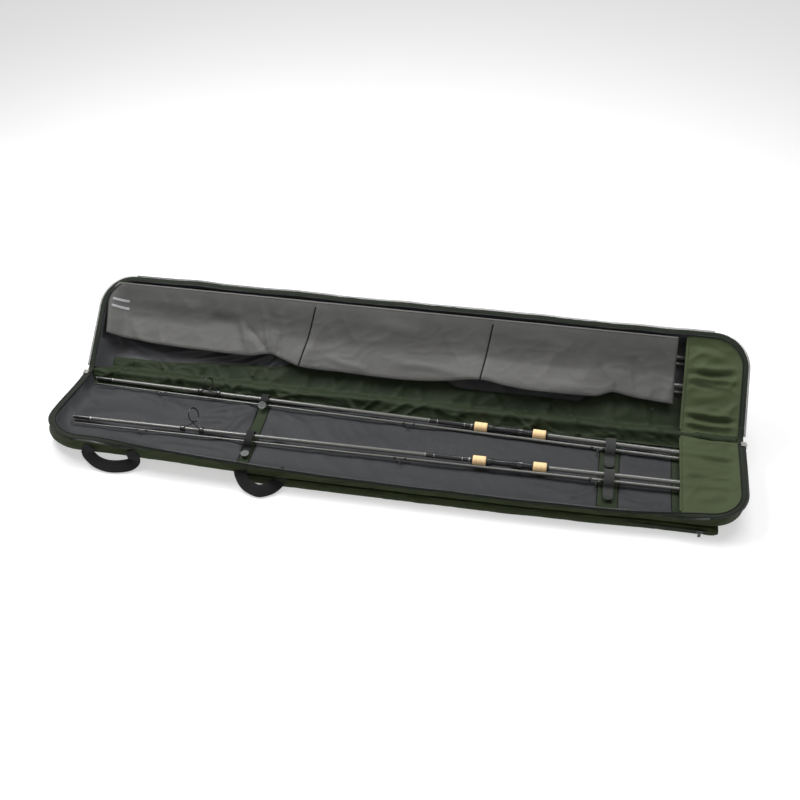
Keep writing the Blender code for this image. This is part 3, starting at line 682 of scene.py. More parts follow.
GREY = (0.056, 0.057, 0.062)
# GREY_BASE_PAINTED_SHADE: the grey lining cloth in a darker copy for the base's pads, painted shade.
GREY_BASE_PAINTED_SHADE = (0.039, 0.040, 0.043)
# GREY_FLAP_PAINTED_LIGHT: the same grey lining cloth in a lighter copy for the flap, painted light.
GREY_FLAP_PAINTED_LIGHT = (0.094, 0.093, 0.089)
GREEN = (0.020, 0.029, 0.013)
GREEN_POCKET = (0.058, 0.074, 0.034)
OUTER = (0.026, 0.035, 0.013)
BAND_COLOUR = (0.015, 0.020, 0.012)
THREAD = (0.020, 0.021, 0.020)
LINING_WEAVE, OUTER_WEAVE, THREAD_TWIST = 0.9 * MM, 1.3 * MM, 0.4 * MM

MATERIALS = {
    "grey_lining": cloth("grey_lining", GREY, 0.46, LINING_WEAVE),
    # the base's lining: a darker copy of the grey lining, painted shade
    "grey_base": cloth("grey_base", GREY_BASE_PAINTED_SHADE, 0.48, LINING_WEAVE, sheen=0.04, shine=0.15),
    # the flap: a lighter copy of the grey lining, painted light
    "grey_flap": cloth("grey_flap", GREY_FLAP_PAINTED_LIGHT, 0.48, LINING_WEAVE, sheen=0.08),
    "green_lining": cloth("green_lining", GREEN, 0.54, LINING_WEAVE, sheen=0.04, mottle=0.14, shine=0.15),
    "green_pocket": cloth("green_pocket", GREEN_POCKET, 0.52, LINING_WEAVE, sheen=0.05, shine=0.15),
    "outer_cloth": cloth("outer_cloth", OUTER, 0.62, OUTER_WEAVE, sheen=0.02, mottle=0.2, weave=0.12 * MM,
                         shine=0.10),
    "zip_tape": tape("zip_tape", BAND_COLOUR, 1.1 * MM),
    # near-black tape: real on the flap's seam tapes; on the cords at the band's inner edge and the flap's free edge it
    # is painted shadow
    "dark_seam": tape("dark_seam", (0.006, 0.006, 0.007), 1.0 * MM),
    "zip_coil": plastic("zip_coil", (0.014, 0.015, 0.014), 0.45),
    "thread": cloth("thread", THREAD, 0.8, THREAD_TWIST, sheen=0.15, creasing=0.02 * MM, weave=0.05 * MM),
    "webbing": tape("webbing", (0.010, 0.010, 0.011), 1.6 * MM),
    "strap": hook_tape("strap", (0.040, 0.042, 0.040)),
    "tab": plastic("tab", (0.120, 0.125, 0.122), 0.65),
    "label": tape("label", (0.380, 0.384, 0.390), 0.8 * MM, roughness=0.7),
    "blank": blank_material("blank", (0.125, 0.125, 0.115), 0.34),
    "whipping": blank_material("whipping", (0.010, 0.010, 0.010), 0.3),
    "cork": cork_material(),
    "reel_seat": plastic("reel_seat", (0.016, 0.017, 0.018), 0.35),
    "guide": metal("guide", (0.10, 0.10, 0.10), 0.30),
    "ring_insert": plastic("ring_insert", (0.010, 0.010, 0.011), 0.25),
    "zip_metal": metal("zip_metal", (0.62, 0.62, 0.60), 0.32),
}
SLOTS = {"grey_flap": "grey_lining", "grey_base": "grey_lining", "green_pocket": "green_lining",
         "dark_seam": "zip_tape", "thread": "zip_tape", "whipping": "blank", "ring_insert": "guide",
         "label": "tab"}


def dress(made, finish, body=None, replaces=()):
    """Gives a piece its material, the body that it rides on, and the CAD nodes that it stands for."""
    made.data.materials.clear()
    made.data.materials.append(MATERIALS[finish])
    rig.slot(made, SLOTS.get(finish, finish))
    if replaces:
        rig.replaces(made, *replaces)
    if body:
        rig.ride(made, body)
    return made


# ---- plan of each half ----

def rolled(x):
    """How far the base's front band has rolled over outward, by its place along the case."""
    return smooth(x, -0.86, -0.62) * (1 - smooth(x, 0.66, 0.90))


def front_sag(x):
    """How far the base's front rim hangs below the spine's level."""
    return 0.021 * smooth(x, -0.80, 0.05) * (1 - 0.55 * smooth(x, 0.72, 0.97))


def front_bulge(x):
    return 0.013 * smooth(x, -0.85, -0.30) * (1 - smooth(x, 0.30, 0.90))


def tip_bulge(out):
    return 0.046 * smooth(out, 0.010, 0.230) * (1 - 0.35 * smooth(out, 0.230, WIDTH))


def soften_base(x, out, z):
    """Where a point of the neat base really lies, as its cloth front has slumped."""
    high = smooth(z, BASE_BOTTOM, RIM)
    front = smooth(out, 0.10, WIDTH)
    end = smooth(-x, 0.70, EDGE_X)
    wave = 2.0 * MM * ripple(x, 0.0, 0.16, 3.1)
    return (x - end * tip_bulge(out) * mix(1.0, 0.6, high), out + front * (front_bulge(x) + wave),
            z - high * front * (front_sag(x) + 1.5 * MM * ripple(x, 5.0, 0.12, 8.0)))


def soften_lid(x, out, z):
    high = smooth(z, LID_BOTTOM, RIM)
    far = smooth(out, 0.12, WIDTH)
    wave = 5.0 * MM * ripple(x, 9.0, 0.22, 1.7) + 2.0 * MM * ripple(x, 2.0, 0.09, 4.0)
    return x, out + far * wave, z + high * far * 2.5 * MM * ripple(x, 4.0, 0.2, 6.0)


def in_base(x, out, z):
    return BASE.at(*soften_base(x, out, z))


def in_lid(x, out, z):
    return LID.at(*soften_lid(x, out, z))


def far_edge(x, inset):
    """How far out the outline reaches at x, with its round corners."""
    beyond = abs(x) - (EDGE_X - CORNER)
    if beyond <= 0:
        return WIDTH - inset
    radius = CORNER - inset
    return WIDTH - CORNER + math.sqrt(max(radius ** 2 - beyond ** 2, 0.0))


def band_inset(half, x):
    """Width in plan of the zip band along the far side."""
    return mix(BAND, TUCKED, rolled(x)) if half is BASE else BAND


def from_edge(half, x, out):
    """Distance in from the lining's edge round the three open sides."""
    inset = band_inset(half, x)
    scaled = out * (WIDTH - BAND) / (WIDTH - inset)
    qx = abs(x) - (EDGE_X - CORNER)
    qy = scaled - (WIDTH - CORNER)
    corner = math.hypot(max(qx, 0.0), max(qy, 0.0)) + min(max(qx, qy), 0.0)
    return CORNER - BAND - corner


def outline_path(inset, step, start=0.0):
    """(x, out) along the three open sides, from the spine at the tip end to the spine at the butt end."""
    radius = CORNER - inset
    near = spread(start, WIDTH - CORNER, step)
    path = [(-(EDGE_X - inset), out) for out in near[:-1]]
    turns = spread(0.0, math.pi / 2, step / radius)
    path += [(-(EDGE_X - CORNER) - radius * math.cos(t), WIDTH - CORNER + radius * math.sin(t))
             for t in turns[:-1]]
    path += [(x, WIDTH - inset) for x in spread(-(EDGE_X - CORNER), EDGE_X - CORNER, step)[:-1]]
    return path + [(-x, out) for x, out in path[:len(near) - 1 + len(turns) - 1][::-1]]


# ---- linings ----

TIP_FOLDS = (
    (-0.42, 0.030, -0.60, 0.120, 0.010, 0.0035), (-0.42, 0.045, -0.52, 0.140, 0.008, -0.0030),
    (-0.43, 0.060, -0.50, 0.200, 0.012, 0.0040), (-0.44, 0.110, -0.62, 0.150, 0.014, 0.0030),
    (-0.43, 0.225, -0.58, 0.180, 0.010, 0.0030), (-0.43, 0.240, -0.62, 0.235, 0.009, -0.0025),
    (-0.80, 0.050, -0.62, 0.115, 0.018, 0.0040), (-0.90, 0.100, -0.70, 0.075, 0.016, -0.0030),
    (-0.93, 0.180, -0.74, 0.140, 0.022, 0.0035), (-0.68, 0.265, -0.48, 0.245, 0.012, 0.0040),
)
MIDDLE_FOLDS = (
    (-0.37, 0.050, -0.27, 0.110, 0.010, 0.0025), (-0.38, 0.150, -0.30, 0.200, 0.012, 0.0025),
    (-0.38, 0.060, -0.20, 0.072, 0.010, -0.0030), (0.38, 0.235, 0.56, 0.265, 0.010, 0.0040),
    (0.47, 0.285, 0.58, 0.220, 0.012, 0.0050), (0.52, 0.255, 0.58, 0.160, 0.010, -0.0030),
    (-0.10, 0.265, 0.30, 0.270, 0.016, 0.0025), (0.05, 0.120, 0.25, 0.135, 0.040, 0.0018),
)
BUTT_FOLDS = (
    (0.645, 0.250, 0.74, 0.285, 0.008, 0.0050), (0.66, 0.290, 0.77, 0.250, 0.008, 0.0045),
    (0.65, 0.215, 0.73, 0.235, 0.008, -0.0030), (0.65, 0.050, 0.76, 0.075, 0.010, 0.0020),
)
LID_FOLDS = (
    (-0.43, 0.120, -0.52, 0.075, 0.007, 0.0060), (-0.46, 0.118, -0.60, 0.075, 0.008, -0.0050),
    (-0.50, 0.112, -0.66, 0.080, 0.008, 0.0055), (-0.56, 0.115, -0.70, 0.085, 0.009, -0.0040),
    (-0.60, 0.110, -0.78, 0.088, 0.009, 0.0050), (-0.92, 0.125, -0.80, 0.080, 0.012, 0.0040),
    (-0.40, 0.120, -0.44, 0.070, 0.007, 0.0050), (0.66, 0.105, 0.76, 0.060, 0.010, 0.0050),
)


def lining_height(half, x, out, creases):
    """Level of a lining: a soft floor that climbs to the zip band, steeply where rods end near it."""
    floor = BASE_FLOOR if half is BASE else LID_FLOOR
    if half is BASE:
        climb = mix(0.015, 0.042, smooth(out, 0.055, 0.100))
    else:
        climb = mix(0.050, 0.013, smooth(out, 0.095, 0.125))
        climb = mix(climb, 0.026, smooth(out, WIDTH - 0.06, WIDTH - 0.03))
    share = max(0.0, 1 - from_edge(half, x, out) / climb)
    rise = (RIM - 0.002 - floor) * share ** 1.7
    slant = 0.35 if half is BASE else -0.5
    puff = 2.4 * MM * ripple(x, out, 0.14, 2.0) + 1.7 * MM * crumple(x, out, 0.075, slant, 7.0)
    puff += 0.8 * MM * crumple(x, out, 0.03, slant + 0.9, 3.0)
    puff = max(puff + 2.4 * folds(x, out, creases), -3.0 * MM)
    return floor + rise + puff * (1 - 0.5 * share)


def panel_dip(x, ends, depth=2.2 * MM, width=7 * MM):
    """The valley along a sewn end of a panel."""
    return -depth * sum(math.exp(-((x - end) / width) ** 2) for end in ends)


LINING_NEAR = 0.006             # how near to the spine the linings begin


def lining(name, half, x_low, x_high, finish, creases, nodes, seams=(), lift=0.0, rows=40, step=0.008):
    """One padded panel of a lining, from near the spine to the zip band."""
    place = in_base if half is BASE else in_lid

    def point(x, v):
        out = mix(LINING_NEAR, far_edge(x, band_inset(half, x)) + 0.001, v)
        return place(x, out, lining_height(half, x, out, creases) + panel_dip(x, seams) + lift)

    made = grid(name, spread(x_low, x_high, step), [i / rows for i in range(rows + 1)], point)
    thicken(made, 4 * MM, offset=-1.0 if half is LID else 1.0, levels=1)
    dress(made, finish, half.body, nodes)
    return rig.padded(made, 0.35)


def add_linings():
    end = EDGE_X - BAND
    tip_low, tip_high = TIP_STRIP
    butt_low, butt_high = BUTT_STRIP
    pocket_floor = POCKET_X - 0.022
    # the base's grey pads take the darker copy of the grey lining: painted shade
    lining("base_lining_tip_pad", BASE, -end, tip_low, "grey_base", TIP_FOLDS, ["base_lining_tip"],
           seams=(tip_low,))
    lining("base_tip_strip", BASE, tip_low, tip_high, "green_lining", (), ["base_strip_tip"],
           lift=-1.2 * MM, step=0.005)
    lining("base_lining_middle_pad", BASE, tip_high, butt_low, "grey_base", MIDDLE_FOLDS,
           ["base_lining_middle"], seams=(tip_high, butt_low))
    lining("base_butt_strip", BASE, butt_low, butt_high, "green_lining", (), ["base_strip_butt"],
           lift=-1.2 * MM, step=0.005)
    lining("base_lining_butt_pad", BASE, butt_high, pocket_floor, "grey_base", BUTT_FOLDS,
           ["base_lining_butt"], seams=(butt_high,), step=0.006)
    lining("base_pocket_floor", BASE, pocket_floor, end, "green_lining", (), (), lift=-0.8 * MM)
    lining("lid_lining_pad", LID, -end, end, "grey_lining", LID_FOLDS, ["lid_lining"], rows=44)


# ---- zip bands ----

def rolled_out(roll, across):
    """How far out and down a rolled band has come at a distance across it, and which way it then faces."""
    def angle_at(distance):
        return roll * mix(ROLL_START, ROLL_END, smooth(distance, ROLL_FROM, ROLL_TO))

    away = drop = 0.0
    steps = 8
    for i in range(steps):
        angle = angle_at(across * (i + 0.5) / steps)
        away += math.cos(angle) * across / steps
        drop += math.sin(angle) * across / steps
    return away, drop, angle_at(across)


def band_point(half, x, out, across, up):
    """A point of the band: its place on the outline, how far across from the lining, and its height."""
    place = in_base if half is BASE else in_lid
    roll = rolled(x) if half is BASE and out > WIDTH - CORNER else 0.0
    start = band_inset(half, x) if out > WIDTH - CORNER else BAND
    if across < TAPE_WIDTH:
        across *= TAPE_SHARE
    else:
        across += BAND - TEETH_END
    away, drop, angle = rolled_out(roll, across)
    inset = start - away - up * math.sin(angle)
    level = RIM - drop + up * math.cos(angle)
    # the outline is drawn at inset 0, so the inset moves the point back along its own normal
    if abs(x) <= EDGE_X - CORNER:
        px, pout = x, out - inset
    elif out <= WIDTH - CORNER:
        px, pout = x - math.copysign(inset, x), out
    else:
        dx = (x - math.copysign(EDGE_X - CORNER, x)) / CORNER
        dout = (out - (WIDTH - CORNER)) / CORNER
        px, pout = x - inset * dx, out - inset * dout
    return place(px, pout, level)


BAND_SECTION = ((0.0000, -0.0030), (0.0004, 0.0006), (0.0016, 0.0014), (0.0030, 0.0012), (0.0040, 0.0001),
                (0.0060, 0.0006), (0.0110, 0.0011), (0.0170, 0.0010), (0.0215, 0.0002), (0.0226, -0.0002),
                (0.0240, 0.0004), (0.0252, 0.0002), (0.0254, -0.0020), (0.0160, -0.0026), (0.0060, -0.0028))
COIL_PITCH = 3.0 * MM
# (distance across the band, share of the tooth's width)
TOOTH_SECTIONS = ((0.0250, 0.5), (0.0266, 0.72), (TEETH_END, 0.72))


def add_zip(half, spine_gap):
    """The woven band, its near-black seam cord (a real seam, painted seam shadow), stitching and moulded teeth."""
    name = half.body
    path = outline_path(0.0, 0.006, spine_gap)
    rings = [[band_point(half, x, out, a, b) for a, b in BAND_SECTION] for x, out in path]
    band = loft(name + "_zip_band", rings)
    band.data.shade_smooth()
    dress(band, "zip_tape", name, [name + "_zip_tape"])
    # The seam cord's near-black colour along the band's inner edge is painted seam shadow on a real seam.
    seam = wire(name + "_band_seam", [band_point(half, x, out, 0.0002, 0.0008) for x, out in path], 1.5 * MM)
    dress(seam, "dark_seam", name)
    up = half.turn(0, 0, 1)
    rows = [stitches(f"row_{across}", [band_point(half, x, out, across, 0.0006) for x, out in path], up)
            for across in (0.0062, 0.0205)]
    dress(join(name + "_band_stitching", rows), "thread", name)
    add_teeth(half, outline_path(0.0, COIL_PITCH, spine_gap))


def add_teeth(half, path):
    """Moulded teeth along the band's outer edge."""
    teeth, faces = [], []
    for x, out in path:
        start = len(teeth)
        for across, wide in TOOTH_SECTIONS:
            for along in (-1, 1):
                for high in (-1, 1):
                    shift = along * wide * COIL_PITCH * 0.42
                    straight = abs(x) <= EDGE_X - CORNER
                    dx, dout = (shift, 0.0) if straight else (0.0, shift)
                    level = high * 1.1 * MM - 0.4 * MM
                    teeth.append(band_point(half, x + dx, out + dout, across, level))
        for ring in (0, 4):
            a = start + ring
            faces += [(a, a + 1, a + 5, a + 4), (a + 2, a + 6, a + 7, a + 3), (a, a + 4, a + 6, a + 2),
                      (a + 1, a + 3, a + 7, a + 5)]
        faces += [(start, start + 2, start + 3, start + 1), (start + 8, start + 9, start + 11, start + 10)]
    coil = new_object(half.body + "_zip_coil", teeth, faces)
    coil.data.set_sharp_from_angle(angle=math.radians(30))
    dress(coil, "zip_coil", half.body, [half.body + "_zip_teeth"])


# ---- outer cloth ----

SHELL_FOOT = 0.014              # radius where the wall turns into the bottom
SHELL_NEAR = 0.0012             # how near to the spine the shell comes
SHELL_THICKNESS = 3 * MM


def add_shell(half, bottom, nodes):
    """The outer panel and gusset of one half, a soft tray with a rounded foot."""
    place = in_base if half is BASE else in_lid
    foot = SHELL_FOOT
    near = SHELL_NEAR
    turns = [math.pi / 2 * i / 5 for i in range(6)]
    top = RIM - 0.004
    levels = [(0.0, top - (top - bottom - foot) * i / 6) for i in range(7)]
    levels += [(foot * (1 - math.cos(t)), bottom + foot * (1 - math.sin(t))) for t in turns[1:]]
    levels.append((foot + 0.03, bottom))
    rings = []
    for extra, level in levels:
        inset = WALL_INSET + extra
        path = outline_path(inset, 0.010, near + extra)
        back = [(x, near + extra) for x in spread(-(EDGE_X - inset), EDGE_X - inset, 0.012)[::-1][1:-1]]
        ring = []
        for x, out in path + back:
            push = 2.2 * MM * ripple(x + out, level * 2, 0.09, 5.0)
            push += 2.0 * MM * crumple(x + out, level, 0.035, 0.5, 2.0)
            wall = smooth(level, bottom, bottom + foot) * smooth(out, 0.02, 0.1)
            ring.append(place(x, out + push * wall, level))
        rings.append(ring)
    count = min(len(ring) for ring in rings)
    rings = [resample(ring, count) for ring in rings]
    made = tray_from(half.body + "_outer_cloth", rings)
    thicken(made, SHELL_THICKNESS, -1.0)
    dress(made, "outer_cloth", half.body, nodes)
    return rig.padded(made, 0.2)


def resample(ring, count):
    """The same closed ring with another number of points."""
    walked = [0.0]
    loop = ring + [ring[0]]
    for a, b in zip(loop, loop[1:]):
        walked.append(walked[-1] + (b - a).length)
    made = []
    index = 0
    for i in range(count):
        distance = walked[-1] * i / count
        while walked[index + 1] < distance:
            index += 1
        share = (distance - walked[index]) / max(walked[index + 1] - walked[index], 1e-9)
        made.append(loop[index].lerp(loop[index + 1], share))
    return made


def tray_from(name, rings):
    """A tray: rings from its rim down and in, with the last one filled."""
    across = len(rings[0])
    points = [p for ring in rings for p in ring]
    faces = []
    for i in range(len(rings) - 1):
        a, b = i * across, (i + 1) * across
        faces += [(a + j, b + j, b + (j + 1) % across, a + (j + 1) % across) for j in range(across)]
    last = (len(rings) - 1) * across
    faces.append(tuple(last + j for j in range(across))[::-1])
    return new_object(name, points, faces)


# ---- spine ----

SPINE_PROFILE = (                # (half, out, z) from the base's lining over the spine to the lid's
    (BASE, 0.030, BASE_FLOOR + 0.0015), (BASE, 0.022, BASE_FLOOR + 0.0030),
    (BASE, 0.014, BASE_FLOOR + 0.0110), (BASE, 0.008, -0.0150), (BASE, 0.003, -0.0065),
    (LID, 0.003, -0.0085), (LID, 0.007, -0.0240),
    (LID, 0.012, -0.0440), (LID, 0.022, -0.0630), (LID, 0.040, LID_FLOOR + 0.0080),
    (LID, 0.062, LID_FLOOR + 0.0075), (LID, 0.078, LID_FLOOR + 0.0060),
)
SPINE_CLOTH_FLAT = (1.94, 0.195)
SPINE_REACH = 0.034             # how much further it reaches up the lid past the tip straps
SPINE_CREASES = (                # (x1, side1, x2, side2), side from -1 at the base's lining to 1 at the lid's
    (-0.90, -0.9, -0.86, 0.9), (-0.78, 0.9, -0.70, -0.6), (-0.72, -0.9, -0.66, 0.4),
    (-0.60, 0.9, -0.50, -0.8), (-0.52, -0.6, -0.47, 0.9), (-0.44, 0.8, -0.36, -0.9),
    (-0.33, -0.9, -0.31, 0.9), (-0.24, 0.9, -0.16, -0.5), (-0.12, -0.8, -0.02, 0.7),
    (0.03, 0.9, 0.10, -0.9), (0.16, -0.9, 0.20, 0.8), (0.26, 0.9, 0.36, -0.6),
    (0.38, -0.8, 0.43, 0.9), (0.49, 0.8, 0.52, -0.9), (0.66, -0.9, 0.60, 0.9), (0.70, 0.9, 0.76, -0.7),
)
SPINE_OUTER_PROFILE = (
    (BASE, 0.0016, -0.0250), (BASE, 0.0010, -0.0120), (BASE, -0.0006, -0.0030),
    (LID, -0.0006, -0.0030), (LID, 0.0010, -0.0120), (LID, 0.0016, -0.0250),
)
SPINE_END_PROFILE = (
    (BASE, 0.018, RIM + 0.0014), (BASE, 0.010, RIM + 0.0012), (BASE, 0.003, RIM + 0.0008),
    (LID, 0.004, RIM + 0.0008), (LID, 0.012, RIM + 0.0012), (LID, 0.024, RIM + 0.0014),
    (LID, 0.036, RIM + 0.0016),
)


def spine_knot(x, number):
    """A point of the spine's profile at x; on the lid it reaches further past the tip straps."""
    half, out, z = SPINE_PROFILE[min(max(number, 0), len(SPINE_PROFILE) - 1)]
    if half is LID:
        shadowed = smooth(x, 0.06, 0.16) * (1 - smooth(x, 0.50, 0.58))
        out += SPINE_REACH * smooth(out, 0.03, 0.078) * smooth(x, -0.43, -0.30) * (1 - 1.1 * shadowed)
        out *= mix(1.0, mix(0.74, 1.0, smooth(x, -0.80, -0.46)), smooth(out, 0.02, 0.06))
    return half.at(x, out, z)


def spine_point(x, share):
    """A point of the soft cloth over the spine, with its creases."""
    spot = share * (len(SPINE_PROFILE) - 1)
    i = min(int(spot), len(SPINE_PROFILE) - 2)
    t = spot - i
    a, b, c, d = [spine_knot(x, k) for k in range(i - 1, i + 3)]
    point = between(a, b, c, d, t)
    tangent = (c - a).normalized()
    normal = tangent.cross(Vector((1, 0, 0)))
    if normal.z < 0:
        normal.negate()
    side = 2 * share - 1
    height = 0.0
    for x1, side1, x2, side2 in SPINE_CREASES:
        line = x1 + (x2 - x1) * (side - side1) / (side2 - side1)
        width = 0.007 + 0.004 * math.sin(50 * x1)
        crest = math.exp(-((x - line) / width) ** 2)
        valley = math.exp(-((x - line - 0.02) / (1.6 * width)) ** 2)
        height += 0.0040 * (crest - 0.5 * valley)
    height += 2.6 * MM * crumple(x, share * 0.13, 0.055, 0.25, 11.0)
    height += 1.1 * MM * crumple(x, share * 0.13, 0.026, -0.5, 5.0)
    fixed = smooth(share, 0.0, 0.10) * (1 - smooth(share, 0.92, 1.0))
    return point + normal * (height + 0.0015) * fixed


def add_spine_end(number, sign):
    """The strip of tape over one end of the spine."""
    low_x, high_x = sorted((sign * (EDGE_X - BAND - 0.002), sign * (EDGE_X - 0.006)))
    rows = range(len(SPINE_END_PROFILE))

    def point(x, v):
        half, out, z = SPINE_END_PROFILE[v]
        return half.at(x, out, z)

    strip = grid(f"spine_end_tape_{number}", spread(low_x, high_x, 0.004), rows, point)
    thicken(strip, 2.2 * MM, 0.0, levels=1)
    dress(strip, "zip_tape")
    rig.blend(strip, "base", "lid", BASE.at(0, 0.006, -0.004), LID.at(0, 0.006, -0.004))


def add_spine():
    """The soft green cloth between the halves, and the strips that join them at the ends and outside."""
    end = EDGE_X - BAND - 0.004
    rows = 44
    inner = grid("spine_cloth", spread(-end, end, 0.004), [i / rows for i in range(rows + 1)], spine_point)
    thicken(inner, 1.6 * MM, 1.0)
    dress(inner, "green_lining", None, ["base_spine_cloth", "lid_spine_cloth"])
    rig.blend(inner, "base", "lid", BASE.at(0, 0.010, -0.012), LID.at(0, 0.010, -0.012))
    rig.sheet(inner, flat=SPINE_CLOTH_FLAT, held="gathered", rests_on=["base_lining_middle", "lid_lining"])

    for number, sign in ((1, -1), (2, 1)):
        add_spine_end(number, sign)

    def behind(x, v):
        half, out, z = SPINE_OUTER_PROFILE[v]
        return half.at(x, out - 0.0016, z - 0.0012 + 0.4 * MM * ripple(x, v * 0.01, 0.03, 2.0))

    reach = EDGE_X - 0.012
    outer = grid("spine_outer_cloth", spread(-reach, reach, 0.02), range(len(SPINE_OUTER_PROFILE)), behind)
    thicken(outer, 1.4 * MM, 0.0, levels=1)
    dress(outer, "outer_cloth")
    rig.blend(outer, "base", "lid", BASE.at(0, 0, -0.010), LID.at(0, 0, -0.010))


# ---- butt pockets ----

POCKET_LEVEL = -0.0105
POCKET_CLOTH_FLAT = (0.185, 0.66)
OVER_ROD = -0.0072              # the cloth's lowest level where it passes over a rod
POCKET_FOLDS = (                  # (x1, y1, x2, y2, width, height), y from the lid side to the front
    (0.81, 0.066, 0.97, 0.060, 0.007, 0.0050), (0.81, 0.050, 0.97, 0.046, 0.006, -0.0055),
    (0.81, 0.032, 0.97, 0.030, 0.007, 0.0050), (0.82, -0.006, 0.97, -0.004, 0.006, -0.0055),
    (0.81, 0.168, 0.96, 0.166, 0.006, 0.0045), (0.81, 0.150, 0.90, 0.140, 0.007, -0.0030),
    (0.93, 0.150, 0.975, 0.200, 0.006, 0.0035), (0.935, 0.080, 0.975, 0.120, 0.006, 0.0035),
    (0.94, -0.050, 0.975, -0.080, 0.006, 0.0035), (0.94, -0.200, 0.97, -0.160, 0.006, 0.0035),
    (0.81, 0.178, 0.96, 0.186, 0.010, -0.0065), (0.83, 0.196, 0.96, 0.203, 0.009, 0.0040),
    (0.81, 0.020, 0.95, 0.004, 0.010, -0.0050), (0.83, -0.018, 0.96, -0.012, 0.008, 0.0050),
    (0.81, -0.172, 0.95, -0.166, 0.010, -0.0060), (0.82, -0.150, 0.93, -0.130, 0.014, 0.0030),
    (0.82, 0.250, 0.93, 0.230, 0.014, 0.0030), (0.82, 0.105, 0.94, 0.125, 0.016, 0.0030),
    (0.83, -0.240, 0.93, -0.215, 0.014, 0.0030), (0.84, -0.075, 0.95, -0.095, 0.014, -0.0025),
    (0.90, 0.060, 0.96, 0.085, 0.010, 0.0030),
)


def pocket_point(x, across):
    """A point of the one cloth over both butt pockets; across runs from the lid's far side to the front."""
    side = 1 if across > 0 else -1
    half = LID if side > 0 else BASE
    out = abs(across)
    hem = 1 - smooth(x, POCKET_X, POCKET_X + 0.012)
    edge = min(1.0, max(0.0, 1 - from_edge(half, x, out) / 0.03))
    sag = -0.0040 * (1 - edge) * (0.5 + 0.5 * math.cos(2 * math.pi * (out - 0.09) / 0.17))
    high = POCKET_LEVEL + (RIM - 0.0015 - POCKET_LEVEL) * edge ** 1.6 + sag
    soft = (1 - edge) * smooth(x, POCKET_X, POCKET_X + 0.02)
    high += soft * (1.8 * folds(x, across, POCKET_FOLDS) + 2.2 * MM * crumple(x, across, 0.05, 0.15, 4.0))
    if half is BASE:
        for distance, slope in BASE_ROD_LINES:
            rod_out = distance + slope * x
            high = mix(high, max(high, OVER_ROD), math.exp(-((out - rod_out) / 0.017) ** 4))
    high -= 0.0006 * hem
    near = math.exp(-(out / 0.020) ** 2)
    high = mix(high, -0.0060, near * 0.8)
    place = in_base if half is BASE else in_lid
    if out < 0.004:
        low, up = in_base(x, 0.004, high), in_lid(x, 0.004, high)
        return low.lerp(up, (across + 0.004) / 0.008)
    return place(x, out, high)


def pocket_across(x):
    lid_far = far_edge(x, BAND) + 0.001
    base_far = far_edge(x, band_inset(BASE, x)) + 0.001
    return lid_far, -base_far


def add_pocket_edge(half, sign, divider_out, floor):
    """The hem of one half's pocket, its stitching and its divider."""
    up = half.turn(0, 0, 1)
    outs = spread(0.012, WIDTH - BAND - 0.006, 0.004)
    line = [pocket_point(POCKET_X + 0.001, sign * out) for out in outs]
    hem = ribbon(half.body + "_pocket_hem", line, up, 9 * MM, 2.6 * MM)
    dress(hem, "green_pocket", half.body)
    rise = up * 1.4 * MM
    sewn = [pocket_point(POCKET_X + 0.003, sign * out) + rise for out in outs]
    dress(stitches(half.body + "_pocket_stitching", sewn, up), "thread", half.body)

    def point(x, v):
        top = pocket_point(x, sign * divider_out) - up * 1.2 * MM
        return mix(half.at(x, divider_out, floor + 0.002), top, v / 5)

    xs = spread(POCKET_X + 0.03, EDGE_X - BAND - 0.004, 0.02)
    wall = grid(half.body + "_pocket_divider", xs, range(6), point)
    thicken(wall, 1.2 * MM, 0.0)
    dress(wall, "green_pocket", half.body)


def add_pockets():
    """The cloth over both butt pockets, its hems and the dividers."""
    rows = 130

    def point(x, v):
        far, front = pocket_across(x)
        return pocket_point(x, mix(far, front, v / rows))

    cover = grid("butt_pocket_cloth", spread(POCKET_X, EDGE_X - BAND + 0.001, 0.004), range(rows + 1), point)
    thicken(cover, 1.8 * MM, 1.0)
    dress(cover, "green_pocket", None, ["base_butt_pocket", "lid_butt_pocket"])
    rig.blend(cover, "base", "lid", BASE.at(0, 0.008, -0.008), LID.at(0, 0.008, -0.008))
    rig.sheet(cover, flat=POCKET_CLOTH_FLAT, held="stretched", rests_on=["base_zip_tape", "lid_zip_tape"])
    add_pocket_edge(BASE, -1, 0.172, BASE_FLOOR)
    add_pocket_edge(LID, 1, 0.180, LID_FLOOR)


# ---- divider flap ----

FLAP_EDGE = (
    (-0.945, 0.120), (-0.93, 0.117), (-0.86, 0.112), (-0.78, 0.105), (-0.58, 0.100), (-0.49, 0.100),
    (-0.43, 0.112), (-0.38, 0.096), (-0.33, 0.082), (-0.20, 0.079), (-0.02, 0.076), (0.12, 0.086),
    (0.22, 0.098), (0.29, 0.088), (0.37, 0.082), (0.555, 0.088), (0.605, 0.106), (0.65, 0.100),
    (0.68, 0.096), (0.784, 0.089),
)
FLAP_SEAMS = ((-0.302, -0.338), (0.238, 0.216))     # x at the far edge, x at the free edge
FLAP_FOLDS = (
    (-0.55, 0.230, -0.50, 0.110, 0.010, 0.0030), (-0.47, 0.250, -0.43, 0.110, 0.009, 0.0045),
    (-0.52, 0.200, -0.44, 0.115, 0.008, -0.0030), (-0.40, 0.180, -0.41, 0.100, 0.009, -0.0025),
    (-0.88, 0.240, -0.62, 0.225, 0.020, 0.0018), (-0.20, 0.240, 0.05, 0.225, 0.018, 0.0018),
    (-0.06, 0.130, 0.20, 0.105, 0.014, 0.0022), (0.30, 0.240, 0.52, 0.225, 0.020, 0.0018),
    (0.58, 0.180, 0.61, 0.105, 0.010, 0.0045), (0.66, 0.200, 0.68, 0.100, 0.008, -0.0025),
    (-0.26, 0.120, -0.12, 0.090, 0.012, 0.0022), (0.40, 0.110, 0.54, 0.100, 0.014, 0.0020),
)
